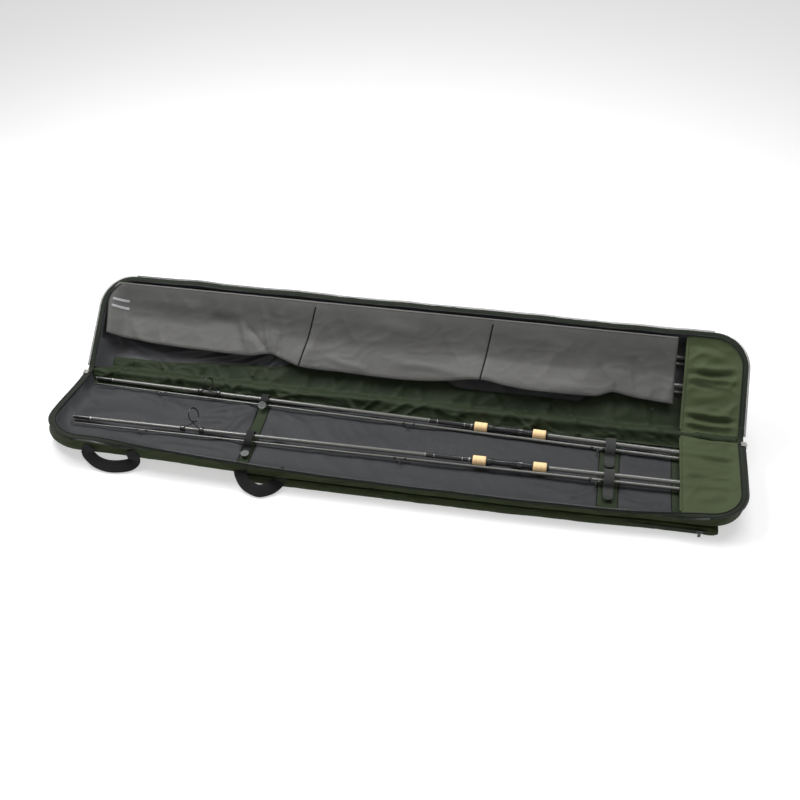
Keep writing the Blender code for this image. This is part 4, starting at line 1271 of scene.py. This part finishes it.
FLAP_MIDDLE = (FLAP_LOW[2] + FLAP_LOW[2] + 0.006) / 2
FLAP_PAD = 6 * MM
FLAP_TOP = (0.2820, -0.0020)                        # out and z of its sewn edge


FLAP_STEPS = 330                # points along the flap's free and sewn edges


def flap_ends(v):
    """x of both ends of the flap, v from the sewn edge to the free edge."""
    corner = 0.026 * (1 - smooth(v, 0.0, 0.16))
    return FLAP_LOW[0] - 0.023 + 0.018 * v + corner, FLAP_HIGH[0] - 0.003 + 0.004 * v


def flap_level(x, out, v):
    """Mid level of the flap: it sinks from the band to the rods, and dips under the tall guide's place."""
    height = mix(FLAP_TOP[1], FLAP_MIDDLE + 0.003, smooth(v, -0.10, 0.62))
    low_x = flap_ends(v)[0]
    height = mix(height, -0.005, 0.8 * (1 - smooth(x - low_x, 0.0, 0.060)))
    dip = math.exp(-((x - GUIDE_X) / 0.055) ** 4) * math.exp(-((out - 0.172) / 0.040) ** 4)
    height = mix(height, min(height, FLAP_MIDDLE + 0.0005), dip)
    height += 0.014 * math.exp(-((x - 0.33) / 0.21) ** 4) * smooth(v, 0.55, 1.0)
    soft = smooth(v, 0.04, 0.30) * (1 - 0.75 * dip)
    height += soft * (1.3 * folds(x, out, FLAP_FOLDS) + 1.6 * MM * ripple(x, out, 0.11, 21.0)
                      + 1.6 * MM * crumple(x, out, 0.085, 1.9, 9.0)
                      + 0.5 * MM * crumple(x, out, 0.035, 0.4, 2.0))
    return height


def flap_point(u, v, face=0.0):
    """A point of the flap; face is -1 on its underside and 1 on top."""
    low, high = flap_ends(v)
    x = mix(low, high, u)
    edge = through(FLAP_EDGE, x)
    out = mix(FLAP_TOP[0], edge, v)
    seam = sum(math.exp(-((x - mix(a, b, v)) / 0.006) ** 2) for a, b in FLAP_SEAMS)
    ends = min(x - low, high - x) / 0.010
    rim = min(1.0, ends, (1 - v) * 16)
    round_rim = max(0.18, math.sqrt(max(0.0, 1 - (1 - max(0.0, rim)) ** 2)))
    thick = FLAP_PAD / 2 * round_rim * (1 - 0.6 * min(1.0, seam))
    quilt = 1 + 0.12 * ripple(x, out, 0.06, 30.0)
    return LID.at(x, out, flap_level(x, out, v) + face * thick * quilt)


def add_flap():
    us = [i / 330 for i in range(331)]
    vs = [0.0, 0.02, 0.045, 0.07, 0.10, 0.13, 0.16, 0.20] + [0.20 + 0.8 * i / 44 for i in range(1, 45)]
    top = [flap_point(u, v, 1.0) for u in us for v in vs]
    low = [flap_point(u, v, -1.0) for u in us for v in vs]
    across, along = len(vs), len(us)
    shift = len(top)
    faces = []
    for i in range(along - 1):
        for j in range(across - 1):
            a, b, c, d = i * across + j, (i + 1) * across + j, (i + 1) * across + j + 1, i * across + j + 1
            faces += [(a, d, c, b), (a + shift, b + shift, c + shift, d + shift)]
    border = [i * across for i in range(along)] + [(along - 1) * across + j for j in range(1, across)]
    border += [i * across + across - 1 for i in range(along - 2, -1, -1)] + list(range(across - 2, 0, -1))
    for a, b in zip(border, border[1:] + border[:1]):
        faces.append((a, b, b + shift, a + shift))
    flap = new_object("divider_flap_pad", top + low, faces)
    # the flap and its sewn edge take the lighter copy of the grey lining: painted light
    dress(flap, "grey_flap", "flap", ["divider_flap"])
    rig.padded(flap, 0.6)
    up = LID.turn(0, 0, 1)
    for number, (a, b) in enumerate(FLAP_SEAMS, 1):
        line = []
        for i in range(5, 61):
            v = i / 60
            x = mix(a, b, v)
            low_x, high_x = flap_ends(v)
            line.append(flap_point((x - low_x) / (high_x - low_x), v, 1.0) + up * 0.3 * MM)
        dress(ribbon(f"flap_seam_{number}", line, up, 5.5 * MM, 1.2 * MM), "dark_seam", "flap")
    # A near-black cord along the flap's plain free edge: painted shadow along that edge.
    edge_top = [flap_point(u / FLAP_STEPS, 1.0, 0.0) for u in range(1, FLAP_STEPS)]
    dress(wire("flap_edge_piping", edge_top, 1.1 * MM), "dark_seam", "flap")
    hem = [flap_point(u / FLAP_STEPS, 0.965, 1.0) for u in range(4, FLAP_STEPS - 3)]
    dress(stitches("flap_edge_stitching", hem, up), "thread", "flap")
    sewn = [flap_point(u / FLAP_STEPS, 0.02, 1.0) for u in range(2, FLAP_STEPS - 1)]
    dress(ribbon("flap_sewn_edge", sewn, up, 3 * MM, 1.6 * MM), "grey_flap", "flap")

    def label_point(u, v):
        low_x, high_x = flap_ends(v)
        return flap_point((u - low_x) / (high_x - low_x), v, 1.0) + up * 0.5 * MM

    first, last = -0.948, -0.898
    for number, (v_low, v_high) in enumerate(((0.300, 0.345), (0.430, 0.475)), 1):
        rows = spread(v_low, v_high, 0.005)
        bar = grid(f"flap_label_{number}", spread(first, last, 0.004), rows, label_point)
        thicken(bar, 0.7 * MM, 1.0)
        dress(bar, "label", "flap")


# ---- straps ----

STRAP_HINGES = {name: Vector(joint["pos_m"]) for name, joint in JOINTS.items() if "strap" in name}
STRAP_WIDTH = 0.028
RESTING_TAB = "tip_strap_1"     # this strap's tab rests on the rods instead of reaching the lining


TAB_PROFILE = (                  # (height, radius) of the round tab
    (0.0, 0.0105), (0.0004, 0.0118), (0.0020, 0.0120), (0.0027, 0.0112), (0.0026, 0.0088),
    (0.0017, 0.0080), (0.0016, 0.0048), (0.0026, 0.0042), (0.0028, 0.0028), (0.0018, 0.0020),
)
# (side of the rod, share of the half length, share of the height)
ELASTIC_PROFILE = (
    (-1, 1.0, 0.0), (-1, 0.62, 0.05), (-1, 0.45, 0.7), (-1, 0.25, 0.98),
    (1, 0.25, 0.98), (1, 0.45, 0.7), (1, 0.62, 0.05), (1, 1.0, 0.0),
)


def add_strap(body, tab):
    """One strap: its leg up behind the rods, over them and down in front, and its stuck or tabbed end."""
    hinge = STRAP_HINGES[body + "_hinge"]
    bottom = SPINE.z + BASE_FLOOR + 0.0025
    y = hinge.y
    path = [Vector((hinge.x, y + 0.016, bottom)), Vector((hinge.x, y + 0.006, bottom + 0.0010)),
            Vector((hinge.x, y + 0.0005, bottom + 0.006)), Vector((hinge.x, y - 0.0002, hinge.z - 0.006)),
            Vector((hinge.x, y - 0.0035, hinge.z + 0.0008)), Vector((hinge.x, y - 0.012, hinge.z + 0.0030)),
            Vector((hinge.x, y - 0.030, hinge.z + 0.0024)), Vector((hinge.x, y - 0.043, hinge.z - 0.0015)),
            Vector((hinge.x, y - 0.0505, hinge.z - 0.0090)), Vector((hinge.x, y - 0.053, bottom + 0.007)),
            Vector((hinge.x, y - 0.057, bottom + 0.0022)), Vector((hinge.x, y - 0.064, bottom + 0.0010)),
            Vector((hinge.x, y - 0.086 + (0.010 if tab else 0.0), bottom + 0.0012))]
    if body == RESTING_TAB:
        path[7:] = [Vector((hinge.x - 0.001, y - 0.036, hinge.z - 0.0035)),
                    Vector((hinge.x - 0.002, y - 0.042, hinge.z - 0.0075))]
    path = curve_through(path, 0.0025)
    ups = []
    for i in range(len(path)):
        along = (path[min(i + 1, len(path) - 1)] - path[max(i - 1, 0)]).normalized()
        ups.append(Vector((1, 0, 0)).cross(along).normalized() * -1)
    name = "strap_" + body
    strap = ribbon(name, path, ups, 0.022 if tab else STRAP_WIDTH, 1.9 * MM)
    if not tab:
        end = path[-1]
        tip = turned(body + "_round_end", end + Vector((0, 0, -0.0009)), Vector((0, 0, 1)),
                     ((0.0, 0.0130), (0.0003, 0.0139), (0.0016, 0.0139), (0.0019, 0.0130)))
        strap = join(name, [strap, tip])
    dress(strap, "webbing" if tab else "strap", None, [body])
    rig.blend(strap, "base", body, hinge + Vector((0, 0.0015, -0.004)), hinge + Vector((0, -0.004, 0.001)))
    if tab:
        number = body[-1]
        facing = Vector((0, -0.55, 0.84)) if body == RESTING_TAB else Vector((0, 0, 1))
        end = path[-1] + Vector((0, -0.0035, 0.0012))
        dress(turned("tab_" + number, end, facing, TAB_PROFILE), "tab", body, ["tip_strap_tab_" + number])
    sewn = [Vector((hinge.x + dx, y + 0.013, bottom + 0.0014)) for dx in spread(-0.011, 0.011, 0.011)]
    dress(stitches(body + "_foot_stitching", sewn, Vector((0, 0, 1))), "thread", "base")


def add_elastic(node):
    """A flat elastic over one of the lid's rods."""
    low, high = LID.extent(node)
    x = (low[0] + high[0]) / 2
    middle = (low[1] + high[1]) / 2
    reach = (high[1] - low[1]) / 2
    rise = high[2] - LID_FLOOR - 0.001
    path = curve_through([LID.at(x, middle + side * reach * share, LID_FLOOR + 0.0015 + rise * lift)
                          for side, share, lift in ELASTIC_PROFILE], 0.004)
    across = LID.turn(1, 0, 0)
    ups = [across.cross((path[min(i + 1, len(path) - 1)] - path[max(i - 1, 0)]).normalized()).normalized()
           for i in range(len(path))]
    dress(ribbon(node + "_band", path, ups, high[0] - low[0], 1.6 * MM), "strap", "lid", [node])


# ---- carry loops ----

def add_loop(body, x_low, x_high, reach, drop, sway):
    """A webbing carry loop hanging from the base's front wall to the ground."""
    pivot = Vector(JOINTS[body + "_swing"]["pos_m"])
    root_y = pivot.y - 0.002
    top = pivot.z - 0.002
    low = 0.0040
    width = x_high - x_low
    points = [(x_low + 0.010, 0.0, 0.0), (x_low + 0.002, 0.004, -0.016),
              (x_low + 0.02 * width, 0.28 * reach, 0.52 * drop),
              (x_low + 0.20 * width, 0.74 * reach, 0.86 * drop), (x_low + (0.42 + sway) * width, reach, drop),
              (x_low + 0.62 * width, 0.98 * reach, drop), (x_low + 0.80 * width, 0.70 * reach, drop),
              (x_high - 0.10 * width, 0.34 * reach, 0.97 * drop),
              (x_high - 0.03 * width, 0.10 * reach, 0.78 * drop),
              (x_high - 0.004, 0.004, 0.42 * drop), (x_high - 0.010, 0.0, 0.0)]
    path = [Vector((x, root_y - y, max(low + 0.014, top + z))) for x, y, z in points]
    path = curve_through(path, 0.005)
    ups = []
    for i in range(len(path)):
        along = (path[min(i + 1, len(path) - 1)] - path[max(i - 1, 0)]).normalized()
        out = Vector((0, -1, 0.80))
        ups.append((out - along * out.dot(along)).normalized())
    loop = ribbon("loop_" + body, path, ups, 0.036, 2.4 * MM, 0.3 * MM)
    return dress(loop, "webbing", body, [body])


# ---- outer pouches ----

def add_pouch(node, half, near_level, far_level):
    """A soft outer pouch, its corners rounded and its face dented."""
    low, high = half.extent(node)
    x_low, x_high = low[0] + 0.001, high[0] - 0.001
    out_low, out_high = low[1] + 0.001, high[1] - 0.0012
    depth = abs(near_level - far_level)

    rows = []
    for x in spread(x_low, x_high, 0.010):
        ends = min(x - x_low, x_high - x)
        close = math.sqrt(max(0.0, 1 - (1 - min(1.0, ends / 0.014)) ** 2))
        ring = []
        corners = 0.011 if depth > 0.04 else 0.009
        half_depth = (depth / 2) * (0.55 + 0.45 * close)
        middle = (near_level + far_level) / 2
        flat = [(out_low, middle - half_depth), (out_high, middle - half_depth),
                (out_high, middle + half_depth), (out_low, middle + half_depth)]
        centre = [(o + (corners if o == out_low else -corners), z + (corners if z < middle else -corners))
                  for o, z in flat]
        starts = (math.pi, 1.5 * math.pi, 0.0, 0.5 * math.pi)
        for (o, z), start in zip(centre, starts):
            for k in range(5):
                angle = start + math.pi / 2 * k / 4
                ring.append([o + corners * math.cos(angle), z + corners * math.sin(angle)])
        filled = []
        for (o1, z1), (o2, z2) in zip(ring, ring[1:] + ring[:1]):
            filled.append((o1, z1))
            gap = math.hypot(o2 - o1, z2 - z1)
            for k in range(1, max(1, int(gap / 0.012))):
                filled.append((mix(o1, o2, k * 0.012 / gap), mix(z1, z2, k * 0.012 / gap)))
        placed = []
        for o, z in filled:
            dent = 2.0 * MM * ripple(x, o + 3 * z, 0.07, 14.0) + 1.8 * MM * crumple(x, o + z, 0.035, 0.6, 6.0)
            placed.append((x, o - max(0.0, dent) * (1 if o > out_high - 0.02 else 0),
                           z + dent * 0.5 * (1 if far_level + 0.004 < z < near_level - 0.004 else 0)))
        rows.append(placed)
    counts = min(len(row) for row in rows)
    soft = in_base if half is BASE else in_lid
    rings = [resample([soft(*p) for p in row], counts) for row in rows]
    for ring in rings:
        for point in ring:
            point.z = max(point.z, 0.8 * MM)
    pouch = loft(node + "_bag", rings)
    pouch.data.shade_smooth()
    dress(pouch, "outer_cloth", half.body, [node])
    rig.padded(pouch, 0.5)


# ---- rods ----

SIDE_STEP = 0.0185              # the tip section lies in front of the butt section, and lower
TIP_DROP = 0.006
FERRULE_X, BUTT_X = -0.948, 0.930
TIP_END_X, TIP_BUTT_X = -0.942, 0.905
FERRULE_R, BUTT_R = 0.0052, 0.0069
TIP_THIN, TIP_THICK = 0.0019, 0.0050
RING_LEAN = math.radians(12)    # the tall ring leans towards the tip
RING_TURN = math.radians(25)    # and it is bent round a little on its legs
GUIDE_REACH = 0.0215            # from the ring to the middle of each foot, along the rod
GUIDE_WIRE = 0.0015
TALL_GUIDES = ((0.036, 0.0190, math.radians(6)), (0.042, 0.0210, -math.radians(38)))    # height, radius, roll
BASE_ROD_LEVEL, LID_ROD_LEVEL = -0.020, -0.060
LID_RODS = (0.238, 0.152)       # how far out the lid's rods lie
HANDLE_SHIFTS = (0.0, 0.012, 0.0, 0.0)
BUTT_CAP_PROFILE = ((0.895, 0.0071), (0.896, 0.0083), (0.925, 0.0086), (0.9295, 0.0078), (0.9303, 0.005))
SMALL_GUIDES = ((-0.733, 0.0050), (0.029, 0.0070), (0.576, 0.0095))


class Rod:
    """A rod's line through its half: out = distance + slope * x."""

    def __init__(self, number, half, distance, slope, level):
        self.name = f"rod_{number}"
        self.half, self.distance, self.slope, self.level = half, distance, slope, level
        self.direction = (self.at(1.0) - self.at(0.0)).normalized()

    def at(self, x, side=0.0, up=0.0):
        return self.half.at(x, self.distance + self.slope * x + side, self.level + up)

    def tip_at(self, x, side=0.0, up=0.0):
        forward = 1 if self.half is BASE else -1
        return self.at(x, forward * (SIDE_STEP + side), up - TIP_DROP)

    def part(self, name, profile, finish, replaces=(), place=None, sides=32):
        """A turned part; the profile is (x, radius)."""
        place = place or self.at
        start = profile[0][0]
        shifted = [(x - start, radius) for x, radius in profile]
        made = turned(f"{self.name}_{name}", place(start), self.direction, shifted, sides)
        return dress(made, finish, self.name, replaces)


def blank_r(x):
    return mix(FERRULE_R, BUTT_R, (x - FERRULE_X) / (BUTT_X - FERRULE_X))


def tip_r(x):
    return mix(TIP_THIN, TIP_THICK, (x - TIP_END_X) / (TIP_BUTT_X - TIP_END_X))


def sleeve(low, high, radius, extra):
    """A bound or glued sleeve on a blank, with soft shoulders."""
    return [(low, radius(low)), (low + 0.0008, radius(low) + extra * 0.8), (low + 0.002, radius(low) + extra),
            (high - 0.002, radius(high) + extra), (high - 0.0008, radius(high) + extra * 0.8),
            (high, radius(high))]


def cork_profile(low, high, radius):
    """Cork rings glued end to end, with rounded outer edges."""
    rings = max(2, round((high - low) / 0.0125))
    points = [(low, radius * 0.55), (low + 0.0006, radius * 0.93), (low + 0.0020, radius)]
    for i in range(1, rings):
        x = mix(low, high, i / rings)
        points += [(x - 0.0005, radius), (x, radius - 0.00022), (x + 0.0005, radius)]
    return points + [(high - 0.0020, radius), (high - 0.0006, radius * 0.93), (high, radius * 0.55)]


def ring_points(centre, first, second, radius, count=40):
    points = []
    for k in range(count):
        angle = 2 * math.pi * k / count
        points.append(centre + radius * (first * math.cos(angle) + second * math.sin(angle)))
    return points


def add_guide(rod, radius, height, lean):
    """The tall butt guide: a ring across the rod held by three legs, its feet bound to the blank."""
    name, x, place, blank, reach, wire_r = "guide", GUIDE_X, rod.at, blank_r, GUIDE_REACH, GUIDE_WIRE
    up = rod.half.turn(0, math.sin(lean), math.cos(lean))
    along = rod.direction
    across = along.cross(up).normalized()
    centre = place(x) + up * height
    facing = along * math.cos(RING_TURN) + across * math.sin(RING_TURN)
    across = across * math.cos(RING_TURN) - along * math.sin(RING_TURN)
    rise = up * math.cos(RING_LEAN) - facing * math.sin(RING_LEAN)
    parts = [wire("ring", ring_points(centre, across, rise, radius), wire_r, 10, True)]
    low = blank(x) + wire_r
    for side in (-1, 1):
        start = centre + (across * side * 0.80 - rise * 0.60) * radius
        foot = place(x + reach) + up * (low * 0.8) + across * side * low * 0.45
        end = place(x + reach * 1.45) + up * (low * 0.8) + across * side * low * 0.45
        bend = start.lerp(foot, 0.55) - up * 0.02 * height
        parts.append(wire("leg", curve_through([start, bend, foot, end], 0.004), wire_r * 0.9, 8))
    start = centre - rise * radius
    foot = place(x - reach) + up * low
    bend = start.lerp(foot, 0.5) - up * 0.03 * height
    end = place(x - reach * 1.45) + up * low
    parts.append(wire("leg", curve_through([start, bend, foot, end], 0.004), wire_r * 0.9, 8))
    dress(join(f"{rod.name}_{name}", parts), "guide", rod.name, [rod.name + "_butt_guide"])
    inside = ring_points(centre, across, rise, radius - wire_r * 0.9)
    dress(wire(f"{rod.name}_{name}_insert", inside, wire_r * 0.75, 8, True), "ring_insert", rod.name)
    for number, sign in enumerate((-1, 1), 1):
        low_x, high_x = sorted((x + sign * reach * 0.95, x + sign * reach * 1.65))
        binding = sleeve(low_x, high_x, blank, wire_r * 2.0 + 0.0003)
        rod.part(f"{name}_binding_{number}", binding, "whipping", sides=24)


def add_small_guide(rod, number, x, radius):
    """A single small ring standing off the tip section on two legs."""
    side = rod.half.turn(0, 1 if rod.half is BASE else -1, -0.10).normalized()
    centre = rod.tip_at(x) + side * (tip_r(x) + radius + 0.0028)
    along = rod.direction
    up = along.cross(side).normalized()
    wire_r = 0.0010
    parts = [wire("ring", ring_points(centre, side, up, radius, 28), wire_r, 8, True)]
    for end in (-1, 1):
        start = centre - side * radius * 0.9
        foot = rod.tip_at(x + end * (0.007 + radius * 0.4)) + side * (tip_r(x) + wire_r)
        last = rod.tip_at(x + end * (0.012 + radius * 0.5)) + side * (tip_r(x) + wire_r)
        parts.append(wire("leg", curve_through([start, foot, last], 0.003), wire_r, 8))
    dress(join(f"{rod.name}_small_guide_{number}", parts), "guide", rod.name)
    for end in (-1, 1):
        low, high = sorted((x + end * (0.008 + radius * 0.4), x + end * (0.015 + radius * 0.5)))
        rod.part(f"small_guide_{number}_binding_{1 if end < 0 else 2}", sleeve(low, high, tip_r, 0.0013),
                 "whipping", place=rod.tip_at, sides=20)


def add_tip_ring(rod):
    side = rod.half.turn(0, 1 if rod.half is BASE else -1, 0.2).normalized()
    up = rod.direction.cross(side).normalized()
    x = TIP_END_X - 0.003
    centre = rod.tip_at(x) + side * 0.0052
    ring = wire("ring", ring_points(centre, side, up, 0.0034, 24), 0.0008, 8, True)
    path = [centre - side * 0.0032, rod.tip_at(x + 0.003) + side * 0.0012, rod.tip_at(x + 0.012)]
    stem = wire("stem", path, 0.0009)
    dress(join(rod.name + "_tip_ring", [ring, stem]), "guide", rod.name)


def add_sections(rod):
    """Both blanks with their bindings."""
    points = [(FERRULE_X, FERRULE_R * 0.6), (FERRULE_X + 0.0006, FERRULE_R)]
    points += [(x, blank_r(x)) for x in spread(FERRULE_X + 0.001, BUTT_X - 0.001, 0.08)]
    points += [(BUTT_X, BUTT_R * 0.6)]
    rod.part("butt_blank", points, "blank", [rod.name + "_butt_section"])
    points = [(TIP_END_X, TIP_THIN * 0.7)]
    points += [(x, tip_r(x)) for x in spread(TIP_END_X + 0.001, TIP_BUTT_X - 0.001, 0.08)]
    points += [(TIP_BUTT_X, TIP_THICK * 0.6)]
    rod.part("tip_blank", points, "blank", [rod.name + "_tip_section"], rod.tip_at)
    rod.part("ferrule_binding", sleeve(FERRULE_X + 0.002, FERRULE_X + 0.050, blank_r, 0.0006), "whipping")
    rod.part("ferrule_ring", sleeve(FERRULE_X + 0.052, FERRULE_X + 0.055, blank_r, 0.0005), "zip_metal")
    rod.part("butt_cap", BUTT_CAP_PROFILE, "reel_seat")
    rod.part("tip_spigot_binding", sleeve(TIP_BUTT_X - 0.045, TIP_BUTT_X - 0.002, tip_r, 0.0006), "whipping",
             place=rod.tip_at)
    add_tip_ring(rod)
    for number, (x, radius) in enumerate(SMALL_GUIDES, 1):
        add_small_guide(rod, number, x, radius)


def add_handle(rod, shift):
    """Fore cork, reel seat with its screw and hoods, and rear cork."""
    fore, seat, rear = 0.220 + shift, 0.258 + shift, 0.389 + shift
    end = rear + 0.038
    name = rod.name
    nodes = {node for node in frame["nodes"] if node.startswith(name)}
    whole = name + "_handle" in nodes
    rod.part("fore_grip", cork_profile(fore, seat - 0.0002, 0.0138), "cork",
             [name + "_handle"] if whole else [name + "_fore_cork"])
    rod.part("rear_grip", cork_profile(rear + 0.0002, end, 0.0138), "cork",
             [] if whole else [name + "_rear_cork"])
    seat_points = [(seat, 0.0085), (seat + 0.0006, 0.0110), (seat + 0.010, 0.0112), (seat + 0.0165, 0.0100),
                   (seat + 0.018, 0.0086), (seat + 0.060, 0.0086)]
    turns = enumerate(spread(seat + 0.061, rear - 0.012, 0.0011))
    seat_points += [(x, 0.0086 + 0.0004 * (i % 2)) for i, x in turns]
    seat_points += [(rear - 0.010, 0.0098), (rear - 0.0006, 0.0100), (rear, 0.0085)]
    rod.part("seat", seat_points, "reel_seat", [] if whole else [name + "_reel_seat"])
    ring_profile = ((0.084, 0.0088), (0.0844, 0.0109), (0.0860, 0.0112), (0.0995, 0.0112),
                     (0.1012, 0.0109), (0.1016, 0.0088))
    rod.part("seat_ring", [(seat + x, radius) for x, radius in ring_profile], "guide")
    rod.part("seat_hood", [(seat + 0.070, 0.0088), (seat + 0.0705, 0.0106), (seat + 0.0825, 0.0110),
                           (seat + 0.0835, 0.0088)], "reel_seat")
    rod.part("fore_trim", sleeve(fore - 0.006, fore - 0.0002, blank_r, 0.0022), "reel_seat")
    rod.part("rear_trim", sleeve(end + 0.0002, end + 0.006, blank_r, 0.0022), "reel_seat")
    rod.part("fore_binding", sleeve(fore - 0.132, fore - 0.012, blank_r, 0.0006), "whipping")
    for number, x in enumerate((fore - 0.135, fore - 0.110, fore - 0.030, fore - 0.010), 1):
        rod.part(f"trim_ring_{number}", sleeve(x, x + 0.0022, blank_r, 0.0009), "zip_metal", sides=24)


def add_rods():
    """All four rods; only the base's rods show their tall guides."""
    rods = [Rod(number, BASE, distance, slope, BASE_ROD_LEVEL)
            for number, (distance, slope) in enumerate(BASE_ROD_LINES, 1)]
    rods += [Rod(number, LID, distance, 0.0, LID_ROD_LEVEL) for number, distance in enumerate(LID_RODS, 3)]
    for rod, shift in zip(rods, HANDLE_SHIFTS):
        add_sections(rod)
        add_handle(rod, shift)
    for rod, (height, radius, lean) in zip(rods, TALL_GUIDES):
        add_guide(rod, radius, height, lean)


# ---- zips' metal and the pouches' zips, which keep their modelled shapes ----

KEPT = {"slider": "zip_metal", "puller": "zip_metal", "pouch_zip": "zip_tape", "pouch_slider": "guide",
        "pouch_puller": "guide"}


def finish_kept_nodes():
    for node, made in frame["nodes"].items():
        for ending, finish in KEPT.items():
            if node.endswith(ending):
                for slot in made.material_slots:
                    slot.material = MATERIALS[finish]


# ---- stage ----

def add_camera():
    yaw, pitch, roll = math.radians(-10.3), math.radians(40.8), math.radians(-0.5)
    forward = Vector((math.sin(yaw) * math.cos(pitch), math.cos(yaw) * math.cos(pitch), -math.sin(pitch)))
    level = Vector((math.cos(yaw), -math.sin(yaw), 0))
    above = level.cross(forward)
    right = level * math.cos(roll) + above * math.sin(roll)
    up = above * math.cos(roll) - level * math.sin(roll)
    data = bpy.data.cameras.new("camera")
    data.lens = 49.5
    data.sensor_width = 36
    data.clip_end = 50
    camera = bpy.data.objects.new("camera", data)
    bpy.context.scene.collection.objects.link(camera)
    turned_to = Matrix((right, up, -forward)).transposed().to_4x4()
    camera.matrix_world = Matrix.Translation((0.431, -2.2585, 2.214)) @ turned_to
    bpy.context.scene.camera = camera


def add_light(name, place, target, size, power):
    data = bpy.data.lights.new(name, "AREA")
    data.shape = "RECTANGLE"
    data.size, data.size_y = size
    data.energy = power
    lamp = bpy.data.objects.new(name, data)
    bpy.context.scene.collection.objects.link(lamp)
    lamp.location = place
    lamp.rotation_euler = (Vector(target) - Vector(place)).to_track_quat("-Z", "Y").to_euler()


def add_stage():
    floor = grid("floor", spread(-14, 14, 28), spread(-14, 14, 28), lambda x, y: (x, y, -0.0005))
    made = Nodes("floor")
    made.colour(made.ramp(made.noise(3.0), ((0.0, (0.60, 0.60, 0.60)), (1.0, (0.62, 0.62, 0.62)))))
    made.set(Roughness=0.9, Specular_IOR_Level=0.1, Emission_Color=(1.0, 1.0, 1.0, 1.0),
             Emission_Strength=0.50)
    floor.data.materials.append(made.material)
    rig.stage(floor)
    world = bpy.data.worlds.new("studio")
    bpy.context.scene.world = world
    world.use_nodes = True
    world.node_tree.nodes["Background"].inputs["Color"].default_value = (1.0, 1.0, 1.0, 1.0)
    world.node_tree.nodes["Background"].inputs["Strength"].default_value = 0.24
    add_light("key", (-1.3, 0.6, 2.2), (0.1, 0.1, 0), (1.6, 1.0), 58)
    add_light("top", (0.9, 1.0, 2.4), (0.2, 0.1, 0), (1.8, 0.8), 40)
    add_light("fill", (0.9, -2.8, 2.4), (0.2, 0.0, 0), (2.4, 1.0), 10)
    bpy.context.scene.view_settings.view_transform = "Standard"


add_stage()
add_camera()
add_linings()
add_zip(BASE, 0.008)
add_zip(LID, 0.010)
add_shell(BASE, BASE_BOTTOM, ["base_panel", "base_gusset", "base_gusset_butt"])
add_shell(LID, LID_BOTTOM, ["lid_panel", "lid_gusset"])
add_spine()
add_pockets()
add_flap()
for strap in ("tip_strap_1", "tip_strap_2"):
    add_strap(strap, True)
for strap in ("butt_strap_1", "butt_strap_2"):
    add_strap(strap, False)
add_elastic("lid_elastic_3")
add_elastic("lid_elastic_4")
add_loop("tip_carry_loop", -0.866, -0.722, 0.026, -0.046, 0.0)
add_loop("middle_carry_loop", -0.410, -0.292, 0.050, -0.046, 0.05)
add_rods()
finish_kept_nodes()
add_pouch("base_pouch", BASE, -0.0595, -0.0888)
add_pouch("lid_pouch", LID, -0.0828, -0.1500)

with open("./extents.json", "w") as report:
    sides = {name: [list(corner) for corner in pair] for name, pair in (("cad", CAD_BOUNDS), ("visual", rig.bounds()))}
    json.dump(sides, report)
